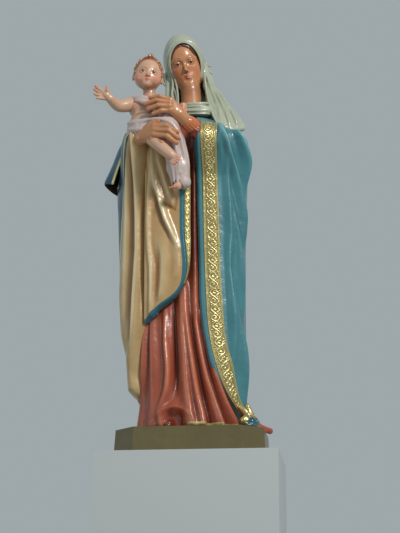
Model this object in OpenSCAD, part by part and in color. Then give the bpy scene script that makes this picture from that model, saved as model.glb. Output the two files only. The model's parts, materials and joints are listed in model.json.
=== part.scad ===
// Standing mother and child figure: painted castings on an octagonal plinth, held by an inner steel post.
// +Z is up, the figure faces -Y, and the origin is the centre of the plinth's underside. Millimetres.

/* [Plinth] */
// Width of the plinth at its foot
plinth_w = 396; // [380:2:420]
// Depth of the plinth at its foot
plinth_d = 290; // [280:2:310]
// Height of the plinth
plinth_h = 65; // [60:1:66]
// Leg of each chamfered corner
plinth_chamfer = 58; // [45:1:70]
// How far each side leans in towards the top
plinth_draft = 4; // [0:0.5:6]

/* [Robe] */
// Height of the robe's folds at the hem
robe_fold_h = 9; // [4:1:10]

/* [Mantle] */
// Thickness of the mantle casting in its valleys
mantle_t = 14; // [10:1:16]
// Height of its vertical folds
fold_h = 7; // [2:0.5:8]
// Width of the gilt border along its front edge
border_w = 40; // [30:1:44]
// Thickness of the gilt border
border_t = 3; // [2:0.5:4]
// Plain margin between the mantle's edge and the border
border_margin = 15; // [10:1:18]

/* [Madonna] */
// Tilt of the head towards the child
head_roll = 12; // [8:1:14]
// Bow of the head
head_bow = 15; // [10:1:18]
// Radius of each glass eye
eye_r = 9; // [8:0.5:9.5]

/* [Child] */
// Tilt of the child's head towards the mother
child_roll = 7; // [3:1:10]
// Radius of each of the child's glass eyes
child_eye_r = 7.5; // [7:0.5:8]

/* [Armature] */
// Diameter of the steel post
post_d = 16; // [12:1:20]
// Diameter of the core hole at the foot of the body casting
core_d = 110; // [90:2:116]
// Diameter of the iron dowels
dowel_d = 8; // [6:1:8]

/* [Hidden] */

eps = 0.01;
gap = 1;
square = 0.84;

// Axis of the body casting, and outline of the casting as [height, reach] pairs
body_x = -8;
body_y = 0;
BODY_LEFT = [[65, 124], [105, 122], [160, 123], [230, 136], [300, 152], [370, 164], [430, 172], [570, 175],
             [700, 178], [800, 172], [860, 150], [880, 136], [900, 118], [916, 99], [932, 78], [962, 40]];
BODY_RIGHT = [[65, 138], [800, 138], [860, 143], [880, 145], [900, 128], [916, 104], [932, 80], [962, 40]];
BODY_FRONT = [[65, 112], [105, 108], [160, 103], [230, 97], [300, 91], [370, 86], [430, 82], [570, 76],
              [700, 74], [860, 72], [900, 64], [932, 52], [962, 38]];
BODY_BACK = [[65, 90], [430, 84], [860, 80], [880, 74], [900, 66], [932, 50], [962, 36]];
LEVELS = [for (p = BODY_LEFT) p[0]];
back_steps = 27;

// Places in the figure
post_top = 938;
bar_z = 905;
head_c = [-26, -6, 1123];
child_head_c = [-113, -119, 1049];
neck_foot = [-6, -14, 950];
neck_top = [-16, -6, 1050];
neck_pin = [neck_foot - [0, 0, 4], neck_foot + 0.9 * (neck_top - neck_foot)];

function spow(v, e) = sign(v) * pow(abs(v), e);
function mix(a, b, t) = a + (b - a) * t;

// A point of the body's outline at height z. Angle a runs from the front, -Y, towards +X.
function outline(z, a, off) =
    let (s = sin(a), c = cos(a))
    let (rx = off + (s > 0 ? lookup(z, BODY_RIGHT) : lookup(z, BODY_LEFT)))
    let (ry = off + (c > 0 ? lookup(z, BODY_FRONT) : lookup(z, BODY_BACK)))
    [body_x + rx * spow(s, square), body_y - ry * spow(c, square), z];

// The angle at which the outline, off further out, reaches x on its front half
function angle_at(z, x, off) =
    let (side = x > body_x ? lookup(z, BODY_RIGHT) : lookup(z, BODY_LEFT))
    asin(spow(max(-1, min(1, (x - body_x) / (side + off))), 1 / square));

// 1 at t = 0, falling to 0 at t = -1 and t = 1
function bell(t) = abs(t) < 1 ? (1 + cos(180 * t)) / 2 : 0;

// Closed solid over rings of points, each ring at one height, capped by fans from its centre
module ring_loft(rings) {
    n = len(rings[0]);
    m = len(rings);
    foot = [for (k = [0:2]) [for (p = rings[0]) p[k]] * [for (p = rings[0]) 1 / n]];
    head = [for (k = [0:2]) [for (p = rings[m - 1]) p[k]] * [for (p = rings[0]) 1 / n]];
    points = concat([for (r = rings) each r], [foot, head]);
    sides = [for (j = [0:m - 2]) for (i = [0:n - 1])
        let (a = j * n + i, b = j * n + (i + 1) % n)
        each [[a, b + n, b], [a, a + n, b + n]]];
    low = [for (i = [0:n - 1]) [m * n, i, (i + 1) % n]];
    high = [for (i = [0:n - 1]) [m * n + 1, (m - 1) * n + (i + 1) % n, (m - 1) * n + i]];
    polyhedron(points, concat(sides, low, high));
}

// Closed solid between two grids of points, an outer face and an inner face
module thick_sheet(outer, inner) {
    m = len(outer);
    n = len(outer[0]);
    far = m * n;
    points = concat([for (r = outer) each r], [for (r = inner) each r]);
    faces = [for (j = [0:m - 2]) for (i = [0:n - 2])
        let (a = j * n + i, b = a + 1, c = a + n, d = c + 1)
        each [[a, d, b], [a, c, d], [far + a, far + b, far + d], [far + a, far + d, far + c]]];
    ends = [for (j = [0:m - 2])
        let (a = j * n, c = a + n, b = a + n - 1, d = c + n - 1)
        each [[a, far + c, c], [a, far + a, far + c], [b, d, far + d], [b, far + d, far + b]]];
    rims = [for (i = [0:n - 2])
        let (a = i, b = i + 1, c = (m - 1) * n + i, d = c + 1)
        each [[a, b, far + b], [a, far + b, far + a], [c, far + d, d], [c, far + c, far + d]]];
    polyhedron(points, concat(faces, ends, rims));
}

// Its children taken as one mesh
module as_mesh() resize([0, 0, 0]) union() children();

module ellipsoid(c, r) translate(c) scale(r) sphere(1);

// A chain of rounded segments through [x, y, z, radius] points
module limb(path, $fn = 10)
    for (i = [0:len(path) - 2])
        hull() {
            for (p = [path[i], path[i + 1]])
                translate([p[0], p[1], p[2]]) sphere(p[3]);
        }

// A straight pin between two points
module pin(a, b, d, $fn = 16) {
    v = b - a;
    translate(a)
        rotate([0, acos(v[2] / norm(v)), atan2(v[1], v[0])])
            cylinder(d = d, h = norm(v));
}

module octagon(shrink) {
    w = plinth_w / 2 - shrink;
    d = plinth_d / 2 - shrink;
    c = plinth_chamfer - shrink * 0.6;
    polygon([[-w, -d + c], [-w + c, -d], [w - c, -d], [w, -d + c],
             [w, d - c], [w - c, d], [-w + c, d], [-w, d - c]]);
}

// ---- Plinth and armature ----
nut_h = 13;
nut_af = 24;
washer_t = 3;
washer_d = 30;
plug_h = 5;
recess_d = washer_d + 4;
recess_h = plug_h + 2 + nut_h + washer_t;
post_x = -8;
SCREWS = [[-78, -42], [62, -42], [-78, 48], [62, 48]];
screw_d = 6;
screw_head_d = 12;
block_d = 24;
block_h = 60;

module plinth()
    color([0.36, 0.32, 0.19]) difference() {
        hull() {
            linear_extrude(eps) octagon(0);
            translate([0, 0, plinth_h - eps]) linear_extrude(eps) octagon(plinth_draft);
        }
        translate([post_x, 0, -1]) cylinder(d = post_d + 0.4, h = plinth_h + 2, $fn = 48);
        translate([post_x, 0, -1]) cylinder(d = recess_d, h = recess_h + 1, $fn = 48);
        for (p = SCREWS) {
            translate([p[0], p[1], -1]) cylinder(d = screw_d + 0.4, h = plinth_h + 2, $fn = 32);
            translate([p[0], p[1], -1]) cylinder(d = screw_head_d + 1, h = 21, $fn = 32);
        }
    }

module foot_screws()
    color([0.62, 0.60, 0.55])
        for (p = SCREWS) translate([p[0], p[1], 0]) difference() {
            union() {
                translate([0, 0, 16]) cylinder(d = screw_head_d, h = 4, $fn = 32);
                translate([0, 0, 16]) cylinder(d = screw_d, h = 85, $fn = 32);
            }
            translate([-screw_head_d, -0.8, 15]) cube([2 * screw_head_d, 1.6, 2.4]);
        }

module foot_blocks()
    color([0.72, 0.58, 0.40])
        for (p = SCREWS) translate([p[0], p[1], plinth_h]) difference() {
            cylinder(d = block_d, h = block_h, $fn = 48);
            translate([0, 0, -1]) cylinder(d = screw_d, h = 101 - plinth_h + 1, $fn = 32);
        }

module recess_plug()
    color([0.88, 0.86, 0.80])
        translate([post_x, 0, 0]) cylinder(d = recess_d - 0.2, h = plug_h, $fn = 48);

module armature_post()
    color([0.45, 0.45, 0.46])
        translate([post_x, 0, plug_h + 0.5]) cylinder(d = post_d, h = post_top - plug_h - 0.5, $fn = 48);

module post_nuts()
    color([0.60, 0.60, 0.60])
        for (z = [recess_h - washer_t - nut_h, bar_z + 6 + washer_t])
            translate([post_x, 0, z]) difference() {
                cylinder(d = nut_af / cos(30), h = nut_h, $fn = 6);
                translate([0, 0, -1]) cylinder(d = post_d, h = nut_h + 2, $fn = 48);
            }

module post_washers()
    color([0.62, 0.62, 0.62])
        for (z = [recess_h - washer_t, bar_z + 6])
            translate([post_x, 0, z]) difference() {
                cylinder(d = washer_d, h = washer_t, $fn = 48);
                translate([0, 0, -1]) cylinder(d = post_d + 0.4, h = washer_t + 2, $fn = 48);
            }

core_top_d = 64;
core_top = 880;
WADS = [160, 480, 800];
wad_h = 36;
function core_at(z) = mix(core_d, core_top_d, (z - plinth_h) / (core_top - plinth_h));

module plaster_wads()
    color([0.88, 0.86, 0.80])
        for (z = WADS) translate([post_x, 0, z])
            rotate_extrude($fn = 48)
                polygon([[post_d / 2, 0], [core_at(z) / 2 - gap, 0],
                         [core_at(z + wad_h) / 2 - gap, wad_h], [post_d / 2, wad_h]]);

module shoulder_bar()
    color([0.45, 0.45, 0.46]) difference() {
        translate([post_x - 60, -15, bar_z]) cube([120, 30, 6]);
        translate([post_x, 0, bar_z - 1]) cylinder(d = post_d + 0.4, h = 8, $fn = 48);
    }

module core_hollow() {
    translate([post_x, 0, plinth_h - eps])
        cylinder(d1 = core_d, d2 = core_top_d, h = core_top - plinth_h, $fn = 36);
    translate([post_x, 0, core_top - 2]) cylinder(d = post_d + 0.6, h = 100, $fn = 32);
    translate([post_x, 0, bar_z + 5.9]) cylinder(d = washer_d + 3, h = 60, $fn = 32);
    translate([post_x - 60.3, -15.3, bar_z - 0.3]) cube([120.6, 30.6, 6.6]);
    for (p = SCREWS)
        translate([p[0], p[1], plinth_h - 1]) cylinder(d = block_d + 0.2, h = block_h + 1.2, $fn = 24);
}

// ---- Clothing of the standing figure ----
// Vertical folds of the robe's visible front, deepest at the hem
function robe_fold(z, a) =
    max(0, min(1, (430 - z) / 300)) * max(0, cos(a)) * robe_fold_h * cos(a * 9 + z / 18);

module robe_body(grow = 0) {
    steps = 40;
    ring_loft([for (z = LEVELS) [for (i = [0:steps - 1])
        let (a = 360 * i / steps) outline(z, a, grow - 1 + robe_fold(z, a))]]);
}

module robe()
    color([0.55, 0.25, 0.15]) as_mesh() difference() {
        robe_body();
        core_hollow();
        left_sleeve_form();
        neck_form(0.3);
        pin(neck_pin[0], neck_pin[1], dowel_d + 4.2);
        child_pins(0.2);
        toe_form();
    }

module toe_form() limb([[-44, -78, 75, 16], [-46, -118, 76, 11]], $fn = 16);

module shoe()
    color([0.52, 0.20, 0.14]) as_mesh() intersection() {
        toe_form();
        translate([-100, -200, plinth_h]) cube([120, 200, 60]);
    }

// x of the mantle's front edge, and how far round the back the mantle reaches, at height z
EDGE = [[66, 134], [76, 130], [135, 104], [200, 78], [269, 56], [340, 39], [406, 29], [687, 20], [932, 15]];
BACK_EDGE = [[66, 246], [170, 250], [269, 270], [800, 270], [860, 284], [932, 290]];
MANTLE_LEVELS = [66, 90, 135, 200, 269, 340, 430, 570, 700, 800, 830, 860, 880, 900, 916, 932];

function border_angle(z, t) =
    angle_at(z, lookup(z, EDGE) + border_margin + border_w * t, mantle_t);

// Angle of the border's column i of 4, and of every column of the mantle at height z
function border_column(z, i) =
    border_angle(z, 0) + i / 4 * max(6, border_angle(z, 1) - border_angle(z, 0));
function mantle_columns(z) =
    concat([angle_at(z, lookup(z, EDGE), mantle_t)],
           [for (i = [0:4]) border_column(z, i)],
           [for (i = [1:back_steps]) mix(border_column(z, 4), lookup(z, BACK_EDGE), i / back_steps)]);

// Clear of every fold of the robe at height z and angle a
function clear_of_robe(z, a) = gap + max(0, min(1, (430 - z) / 300)) * max(0, cos(a)) * robe_fold_h;

// Folds start behind the border, and the forearm inside pushes the front out
function mantle_fold(z, a) =
    fold_h * max(0, min(1, (a - border_column(z, 4)) / 16)) * (0.5 + 0.5 * cos(a * 8.5 + z / 20));
function arm_bulge(z, a) = 50 * bell((z - 874) / 120) * bell(a / 84);
function mantle_face(z, a, off) = outline(z, a, off + mantle_fold(z, a)) - [0, arm_bulge(z, a), 0];

module mantle_sheet() {
    outer = [for (z = MANTLE_LEVELS) [for (a = mantle_columns(z)) mantle_face(z, a, mantle_t)]];
    inner = [for (z = MANTLE_LEVELS) [for (a = mantle_columns(z)) outline(z, a, clear_of_robe(z, a))]];
    thick_sheet(outer, inner);
}

module mantle()
    color([0.27, 0.49, 0.54]) as_mesh() difference() {
        mantle_sheet();
        left_sleeve_form();
        neck_form(0.3);
    }

BORDER_LEVELS = [for (z = MANTLE_LEVELS) if (z >= 90 && z <= 910) z];
function border_point(z, i, off) = mantle_face(z, border_column(z, i), mantle_t + off);

module mantle_border()
    color([0.66, 0.60, 0.35]) as_mesh() difference() {
        thick_sheet([for (z = BORDER_LEVELS) [for (i = [0:4]) border_point(z, i, border_t)]],
                    [for (z = BORDER_LEVELS) [for (i = [0:4]) border_point(z, i, 0.3)]]);
        left_sleeve_form();
    }

// The turned-back lining that hangs from the right forearm: its front edge, and how far it stands off
DRAPE_EDGE = [[353, -118], [385, -88], [418, -40], [450, -14], [487, -4], [570, -8], [711, -12], [850, -16]];
DRAPE_STAND = [[353, 24], [487, 34], [711, 40], [850, 46]];
DRAPE_LEVELS = [353, 368, 385, 400, 418, 434, 450, 487, 570, 640, 711, 790, 850];
drape_left = -126;

function drape_fold(z, a) = 5 * cos(a * 11 + z / 9);
function drape_angles(z, i, steps) =
    mix(angle_at(z, drape_left, 24), angle_at(z, lookup(z, DRAPE_EDGE), lookup(z, DRAPE_STAND)), i / steps);

module drape_sheet() {
    steps = 14;
    outer = [for (z = DRAPE_LEVELS) [for (i = [0:steps])
        let (a = drape_angles(z, i, steps))
        outline(z, a, lookup(z, DRAPE_STAND) * cos(a) + drape_fold(z, a))]];
    inner = [for (z = DRAPE_LEVELS) [for (i = [0:steps])
        let (a = drape_angles(z, i, steps))
        outline(z, a, clear_of_robe(z, a))]];
    thick_sheet(outer, inner);
}

module drape_cuts() {
    right_sleeve_form();
    right_hand_form();
    child_body_form();
    gown_form();
    child_feet_form();
    child_pins(0.2);
}

module mantle_lining_drape()
    color([0.66, 0.55, 0.37]) as_mesh() difference() {
        drape_sheet();
        drape_cuts();
    }

// The lining's side fall, behind the front panel and reaching nearly to the hem
FALL_EDGE = [[140, -143], [166, -140], [230, -146], [289, -143], [350, -130], [850, -130]];
FALL_LEVELS = [140, 166, 200, 230, 289, 350, 430, 570, 711, 800, 850];

module side_fall_sheet() {
    steps = 10;
    outer = [for (z = FALL_LEVELS)
        let (to = angle_at(z, lookup(z, FALL_EDGE), 14))
        [for (i = [0:steps]) let (a = mix(-92, to, i / steps)) outline(z, a, 14 + 4 * cos(a * 20))]];
    inner = [for (z = FALL_LEVELS)
        let (to = angle_at(z, lookup(z, FALL_EDGE), 14))
        [for (i = [0:steps]) let (a = mix(-92, to, i / steps)) outline(z, a, clear_of_robe(z, a))]];
    thick_sheet(outer, inner);
}

module lining_side_fall()
    color([0.68, 0.58, 0.40]) as_mesh() difference() {
        side_fall_sheet();
        mantle_sheet();
        drape_sheet();
        right_sleeve_form();
    }

BAND_LEVELS = [for (z = DRAPE_LEVELS) if (z >= 450 && z <= 790) z];
BAND_WIDTH = [[450, 5], [520, 16], [790, 20]];
function band_point(z, i, off) =
    outline(z, angle_at(z, lookup(z, DRAPE_EDGE) + 0.8 + lookup(z, BAND_WIDTH) * i / 4, 20),
            lookup(z, DRAPE_STAND) - 4 - 3 * i + off);

module drape_border()
    color([0.62, 0.56, 0.30]) as_mesh() difference() {
        thick_sheet([for (z = BAND_LEVELS) [for (i = [0:4]) band_point(z, i, 0)]],
                    [for (z = BAND_LEVELS) [for (i = [0:4]) band_point(z, i, -9)]]);
        drape_sheet();
        gown_form();
        child_feet_form();
    }

// Corner of the mantle that hangs outside the right forearm, hollow between its two layers
module sleeve_fold_form() {
    hull() {
        translate([-152, -92, 866]) sphere(8, $fn = 12);
        translate([-190, -24, 872]) sphere(12, $fn = 12);
        translate([-182, 26, 852]) sphere(12, $fn = 12);
        translate([-238, -24, 764]) sphere(9, $fn = 12);
        translate([-212, 22, 738]) sphere(11, $fn = 12);
        translate([-186, -56, 790]) sphere(8, $fn = 12);
    }
}

module mantle_sleeve_fold()
    color([0.16, 0.33, 0.39]) as_mesh() difference() {
        sleeve_fold_form();
        hull() {
            translate([-206, -48, 806]) sphere(7, $fn = 10);
            translate([-224, -36, 752]) sphere(6, $fn = 10);
            translate([-206, -30, 738]) sphere(6, $fn = 10);
        }
        mantle_sheet();
        drape_sheet();
        side_fall_sheet();
        robe_body(3);
        right_sleeve_form();
        right_hand_form();
        gown_form();
    }

module mantle_hem_fold()
    color([0.55, 0.24, 0.20]) as_mesh($fn = 10) difference() {
        union() {
            hull() {
                translate([142, -78, 82]) sphere(12);
                translate([164, -66, 76]) sphere(10);
                translate([150, -50, 100]) sphere(8);
            }
            hull() {
                translate([166, -62, 75]) sphere(9);
                translate([204, -40, 68]) sphere(6);
            }
            hull() {
                translate([204, -40, 68]) sphere(6);
                translate([209, -34, 56]) sphere(5);
            }
        }
        hull() {
            linear_extrude(eps) octagon(0);
            translate([0, 0, plinth_h]) linear_extrude(eps) octagon(plinth_draft);
        }
        mantle_sheet();
        robe_body();
    }

module collar()
    color([0.68, 0.68, 0.58]) as_mesh() difference() {
        hull() {
            for (p = [[-40, -52, 958, 15], [44, -48, 962, 16], [50, -52, 950, 15], [-36, -56, 950, 14]])
                translate([p[0], p[1], p[2]]) sphere(p[3], $fn = 10);
            translate([2, -30, 968]) scale([52, 42, 18]) sphere(1, $fn = 16);
        }
        neck_form(0.3);
        veil_falls();
        robe_body();
        mantle_sheet();
        left_hand_form();
        left_sleeve_form();
        child_left_arm_form();
    }

// ---- Veil ----
module at_head() translate(head_c) rotate([head_bow, -head_roll, 3]) children();

module hood_form(grow = 0)
    at_head() ellipsoid([0, 16, 8], [58 + grow, 76 + grow, 87.5 + grow], $fn = 24);

module balls(list, fn = 10)
    for (p = list) translate([p[0], p[1], p[2]]) sphere(p[3], $fn = fn);

module veil_falls() {
    // from beside the face to the front of the left shoulder
    hull() balls([[34, 6, 1112, 14], [44, 0, 1060, 15], [52, -10, 1010, 14]]);
    hull() balls([[52, -10, 1010, 14], [60, -58, 944, 9], [84, -62, 914, 8], [112, -40, 908, 8],
                  [86, 6, 972, 16]]);
    hull() balls([[86, 6, 972, 16], [84, -62, 914, 8], [130, -20, 914, 9], [112, 26, 926, 12],
                  [70, 30, 990, 14]]);
    // beside the neck, towards the child
    limb([[-70, 0, 1085, 13], [-62, -8, 1030, 15], [-58, -18, 985, 15], [-54, -30, 962, 11]], $fn = 10);
    // down the back
    hull() balls([[-30, 52, 1120, 30], [-70, 52, 960, 18], [66, 52, 960, 18]], 12);
    hull() balls([[-74, 56, 950, 16], [72, 56, 950, 16], [-100, 66, 880, 12], [104, 66, 880, 12]], 12);
}

module face_opening()
    at_head() hull() {
        translate([0, -80, 46]) sphere(5, $fn = 12);
        for (s = [-1, 1]) {
            translate([s * 40, -78, -8]) sphere(6, $fn = 12);
            translate([s * 36, -70, -150]) sphere(8, $fn = 12);
            translate([s * 34, -26, -20]) sphere(8, $fn = 12);
        }
        translate([0, -30, 40]) sphere(5, $fn = 12);
        translate([0, -26, -120]) sphere(20, $fn = 12);
    }

module veil()
    color([0.66, 0.67, 0.58]) as_mesh() difference() {
        union() {
            hood_form();
            veil_falls();
        }
        at_head() {
            head_local(2.5, 16);
            ears_local(1);
        }
        face_opening();
        neck_form(6);
        mantle_sheet();
        robe_body(3);
        at_head() ellipsoid([0, -14, -66], [30, 40, 40], $fn = 18);
    }

module veil_knot()
    color([0.45, 0.48, 0.48]) as_mesh() difference() {
        union() {
            limb([[42, 18, 1104, 7], [56, 14, 1112, 4]], $fn = 10);
            limb([[42, 16, 1102, 7], [58, 12, 1092, 4]], $fn = 10);
            limb([[42, 16, 1104, 7], [52, 10, 1078, 4]], $fn = 10);
        }
        hood_form();
        veil_falls();
        head_form(0);
    }

// ---- Heads ----
module head_local(grow = 0, fn = 22) {
    ellipsoid([0, 12, 20], [47 + grow, 62 + grow, 56 + grow], $fn = fn);
    hull() {
        ellipsoid([0, -8, -8], [43 + grow, 44 + grow, 44 + grow], $fn = fn - 4);
        ellipsoid([0, -36, -62], [15 + grow, 14 + grow, 13 + grow], $fn = 12);
        ellipsoid([0, 0, -44], [32 + grow, 34 + grow, 18 + grow], $fn = 12);
    }
}

module nose_local()
    hull() {
        translate([0, -53, 4]) sphere(4, $fn = 10);
        translate([0, -64, -24]) sphere(6.5, $fn = 10);
        translate([0, -50, -28]) sphere(8, $fn = 10);
    }

module head_form(grow = 0) at_head() head_local(grow);
module neck_form(grow = 0)
    hull() {
        translate(neck_foot) cylinder(r = 34 + grow, h = 1, $fn = 36);
        translate([-8, -12, 985]) cylinder(r = 30 + grow, h = 1, $fn = 36);
        translate(neck_top) cylinder(r = 29 + grow, h = 1, $fn = 36);
    }

module ears_local(grow = 0)
    for (s = [-1, 1]) ellipsoid([s * 45, 6, -14], [5 + grow, 12 + grow, 17 + grow], $fn = 10);

crown_z = 34;
skull_t = 9;

module madonna_head()
    color([0.66, 0.45, 0.30]) as_mesh() difference() {
        union() {
            head_form();
            neck_form();
            at_head() {
                nose_local();
                ears_local();
                ellipsoid([0, -51, -41], [15, 5, 6], $fn = 12);
            }
        }
        at_head() {
            ellipsoid([0, 14, 20], [47 - skull_t, 62 - skull_t, 56 - skull_t], $fn = 16);
            translate([-100, -100, crown_z]) cube([200, 200, 100]);
            for (s = [-1, 1]) translate([s * 18, -40, 0]) sphere(eye_r + 0.2, $fn = 16);
        }
        pin(neck_pin[0], neck_pin[1], dowel_d + 4.2);
    }

module madonna_hair_cap()
    color([0.22, 0.13, 0.08]) as_mesh() difference() {
        at_head() ellipsoid([0, 12, 20], [47, 62, 56], $fn = 22);
        at_head() {
            ellipsoid([0, 14, 20], [47 - skull_t, 62 - skull_t, 56 - skull_t], $fn = 16);
            translate([-100, -100, crown_z - 100 + 0.2]) cube([200, 200, 100]);
        }
    }

module madonna_eyes()
    color([0.92, 0.90, 0.86]) at_head()
        for (s = [-1, 1]) translate([s * 18, -40, 0]) sphere(eye_r - 0.1, $fn = 32);

module at_child_head() translate(child_head_c) rotate([0, child_roll, 10]) children();

module child_head_local(grow = 0) {
    ellipsoid([0, 4, 8], [42 + grow, 48 + grow, 44 + grow], $fn = 18);
    hull() {
        ellipsoid([0, -10, -16], [39 + grow, 36 + grow, 32 + grow], $fn = 16);
        ellipsoid([0, -34, -42], [13 + grow, 11 + grow, 10 + grow], $fn = 10);
    }
    for (s = [-1, 1]) ellipsoid([s * 41, 2, -10], [5 + grow, 9 + grow, 12 + grow], $fn = 10);
}

module child_neck_form()
    limb([[-110, -114, 978, 19], [-110, -112, 1010, 18]], $fn = 12);

module child_head()
    color([0.72, 0.52, 0.40]) as_mesh() difference() {
        at_child_head() {
            child_head_local();
            ellipsoid([0, -47, -18], [7, 7, 7], $fn = 10);
            ellipsoid([0, -41, -31], [10, 5, 5], $fn = 10);
        }
        at_child_head() {
            ellipsoid([0, 4, 8], [42 - 8, 48 - 8, 44 - 8], $fn = 16);
            translate([-100, -100, 18]) cube([200, 200, 100]);
            for (s = [-1, 1]) translate([s * 16, -37, -5]) sphere(child_eye_r + 0.2, $fn = 14);
        }
        child_neck_form();
        pin([-110, -113, 960], [-110, -113, 1040], dowel_d + 0.2);
    }

module child_hair_cap()
    color([0.50, 0.28, 0.13]) as_mesh() difference() {
        at_child_head() {
            ellipsoid([0, 6, 9], [45, 51, 47], $fn = 18);
            ellipsoid([-6, -34, 46], [10, 10, 10], $fn = 10);
        }
        at_child_head() {
            ellipsoid([0, 4, 8], [42 - 8, 48 - 8, 44 - 8], $fn = 16);
            intersection() {
                child_head_local(0.2);
                translate([-100, -100, -82]) cube([200, 200, 100.2]);
            }
            hull() {
                ellipsoid([0, -50, 2], [30, 16, 32], $fn = 12);
                ellipsoid([0, -46, -44], [52, 44, 26], $fn = 12);
            }
        }
        child_neck_form();
    }

module child_eyes()
    color([0.93, 0.92, 0.90]) at_child_head()
        for (s = [-1, 1]) translate([s * 16, -37, -5]) sphere(child_eye_r - 0.1, $fn = 32);

// ---- Sleeves and hands ----
module left_sleeve_form()
    limb([[96, -22, 850, 36], [62, -60, 866, 32], [14, -112, 886, 27]], $fn = 12);

module left_sleeve()
    color([0.55, 0.24, 0.14]) as_mesh() difference() {
        left_sleeve_form();
        left_hand_form();
        translate([80, -200, 780]) cube([200, 400, 200]);
        pin(left_wrist_pin[0], left_wrist_pin[1], dowel_d + 0.2);
        core_hollow();
    }

module left_cuff_form()
    difference() {
        hull() {
            translate([6, -120, 890]) sphere(30, $fn = 12);
            translate([-4, -132, 898]) sphere(24, $fn = 12);
        }
        hull() {
            translate([14, -112, 886]) sphere(27, $fn = 12);
            translate([-30, -160, 916]) sphere(18, $fn = 12);
        }
    }

module left_cuff()
    color([0.68, 0.42, 0.20]) as_mesh() difference() {
        left_cuff_form();
        left_hand_form();
        gown_form();
        child_body_form();
        child_left_arm_form();
        mantle_sheet();
        left_sleeve_form();
    }

module right_sleeve_form()
    limb([[-112, 4, 898, 32], [-170, -6, 842, 32], [-158, -70, 836, 31], [-144, -106, 842, 27]], $fn = 12);

module right_sleeve()
    color([0.45, 0.16, 0.10]) as_mesh() difference() {
        right_sleeve_form();
        right_hand_form();
        child_body_form();
        gown_form();
        pin(right_wrist_pin[0], right_wrist_pin[1], dowel_d + 0.2);
        robe_body();
        mantle_sheet();
    }

left_wrist_pin = [[-12, -146, 907], [20, -108, 884]];
right_wrist_pin = [[-150, -74, 838], [-131, -136, 851]];

module fingers(list) for (f = list) limb(f, $fn = 8);

LEFT_FINGERS = [
    [[-44, -172, 949, 8], [-72, -180, 958, 7.5], [-98, -177, 956, 6]],
    [[-44, -176, 939, 8], [-80, -185, 945, 7.5], [-111, -180, 938, 6]],
    [[-44, -177, 929, 8], [-76, -186, 930, 7.5], [-103, -181, 922, 6]],
    [[-44, -174, 919, 7.5], [-68, -182, 916, 7], [-90, -179, 909, 5.5]]
];
RIGHT_FINGERS = [
    [[-86, -176, 872, 8.5], [-52, -190, 868, 8], [-22, -187, 850, 6.5]],
    [[-84, -180, 860, 8.5], [-46, -195, 853, 8], [-18, -190, 831, 6.5]],
    [[-86, -180, 847, 8.5], [-50, -194, 838, 8], [-24, -190, 818, 6.5]],
    [[-92, -175, 835, 8], [-64, -189, 821, 7.5], [-43, -186, 802, 6]]
];

module left_hand_form() {
    fingers(LEFT_FINGERS);
    hull() {
        for (f = LEFT_FINGERS) translate([f[0][0], f[0][1] + 3, f[0][2]]) sphere(9, $fn = 10);
        translate([-14, -148, 908]) sphere(16, $fn = 10);
    }
    limb([[-14, -148, 908, 16], [6, -124, 893, 16]], $fn = 10);
    limb([[-24, -152, 930, 9], [-46, -150, 958, 7]], $fn = 10);
}

module left_hand()
    color([0.66, 0.45, 0.31]) as_mesh() difference() {
        left_hand_form();
        pin(left_wrist_pin[0], left_wrist_pin[1], dowel_d + 0.2);
    }

module right_hand_form() {
    fingers(RIGHT_FINGERS);
    hull() {
        for (f = RIGHT_FINGERS) translate([f[0][0], f[0][1] + 4, f[0][2]]) sphere(10, $fn = 10);
        translate([-134, -138, 851]) sphere(18, $fn = 10);
    }
    limb([[-134, -138, 851, 17], [-146, -104, 844, 17]], $fn = 10);
    limb([[-124, -152, 864, 10], [-100, -170, 882, 8], [-78, -178, 886, 6.5]], $fn = 10);
}

module right_hand()
    color([0.60, 0.40, 0.27]) as_mesh() difference() {
        right_hand_form();
        pin(right_wrist_pin[0], right_wrist_pin[1], dowel_d + 0.2);
    }

module hand_dowels()
    color([0.35, 0.34, 0.33]) {
        pin(left_wrist_pin[0], left_wrist_pin[1], dowel_d);
        pin(right_wrist_pin[0], right_wrist_pin[1], dowel_d);
    }

module neck_dowel()
    color([0.35, 0.34, 0.33]) pin(neck_pin[0], neck_pin[1], dowel_d + 4);

// ---- Child ----
module child_body_form() {
    hull() {
        ellipsoid([-120, -114, 952], [48, 32, 34], $fn = 16);
        ellipsoid([-122, -122, 900], [42, 36, 38], $fn = 16);
    }
    child_neck_form();
}

module child_torso()
    color([0.74, 0.58, 0.46]) as_mesh() difference() {
        child_body_form();
        left_hand_form();
        right_hand_form();
        child_arm_forms();
        pin([-110, -113, 960], [-110, -113, 1040], dowel_d + 0.2);
        child_arm_pins(0.2);
        child_pins(0.2);
        robe_body();
        right_sleeve_form();
    }

module child_right_arm_form() {
    limb([[-156, -120, 966, 20], [-188, -150, 946, 17], [-206, -176, 956, 12.5],
          [-216, -184, 964, 12]], $fn = 12);
    limb([[-222, -186, 970, 6], [-236, -190, 982, 5], [-248, -192, 993, 4]], $fn = 10);
    limb([[-224, -184, 966, 6], [-238, -188, 976, 5], [-250, -190, 985, 4]], $fn = 10);
    limb([[-222, -186, 958, 6], [-236, -192, 958, 5.5], [-228, -198, 966, 4]], $fn = 10);
    limb([[-212, -190, 970, 6], [-213, -194, 984, 4.5]], $fn = 8);
}

module child_left_arm_form() {
    limb([[-78, -112, 966, 18], [-46, -122, 948, 15], [-22, -132, 938, 11]], $fn = 12);
    limb([[-22, -136, 938, 12], [-12, -144, 934, 12]], $fn = 10);
}

module child_arm_forms() {
    child_right_arm_form();
    child_left_arm_form();
}

module child_arm_pins(grow = 0) {
    pin([-138, -116, 958], [-172, -134, 956], dowel_d - 2 + grow);
    pin([-96, -114, 958], [-64, -116, 956], dowel_d - 2 + grow);
}

module child_arm_dowels() color([0.35, 0.34, 0.33]) child_arm_pins();

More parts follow.
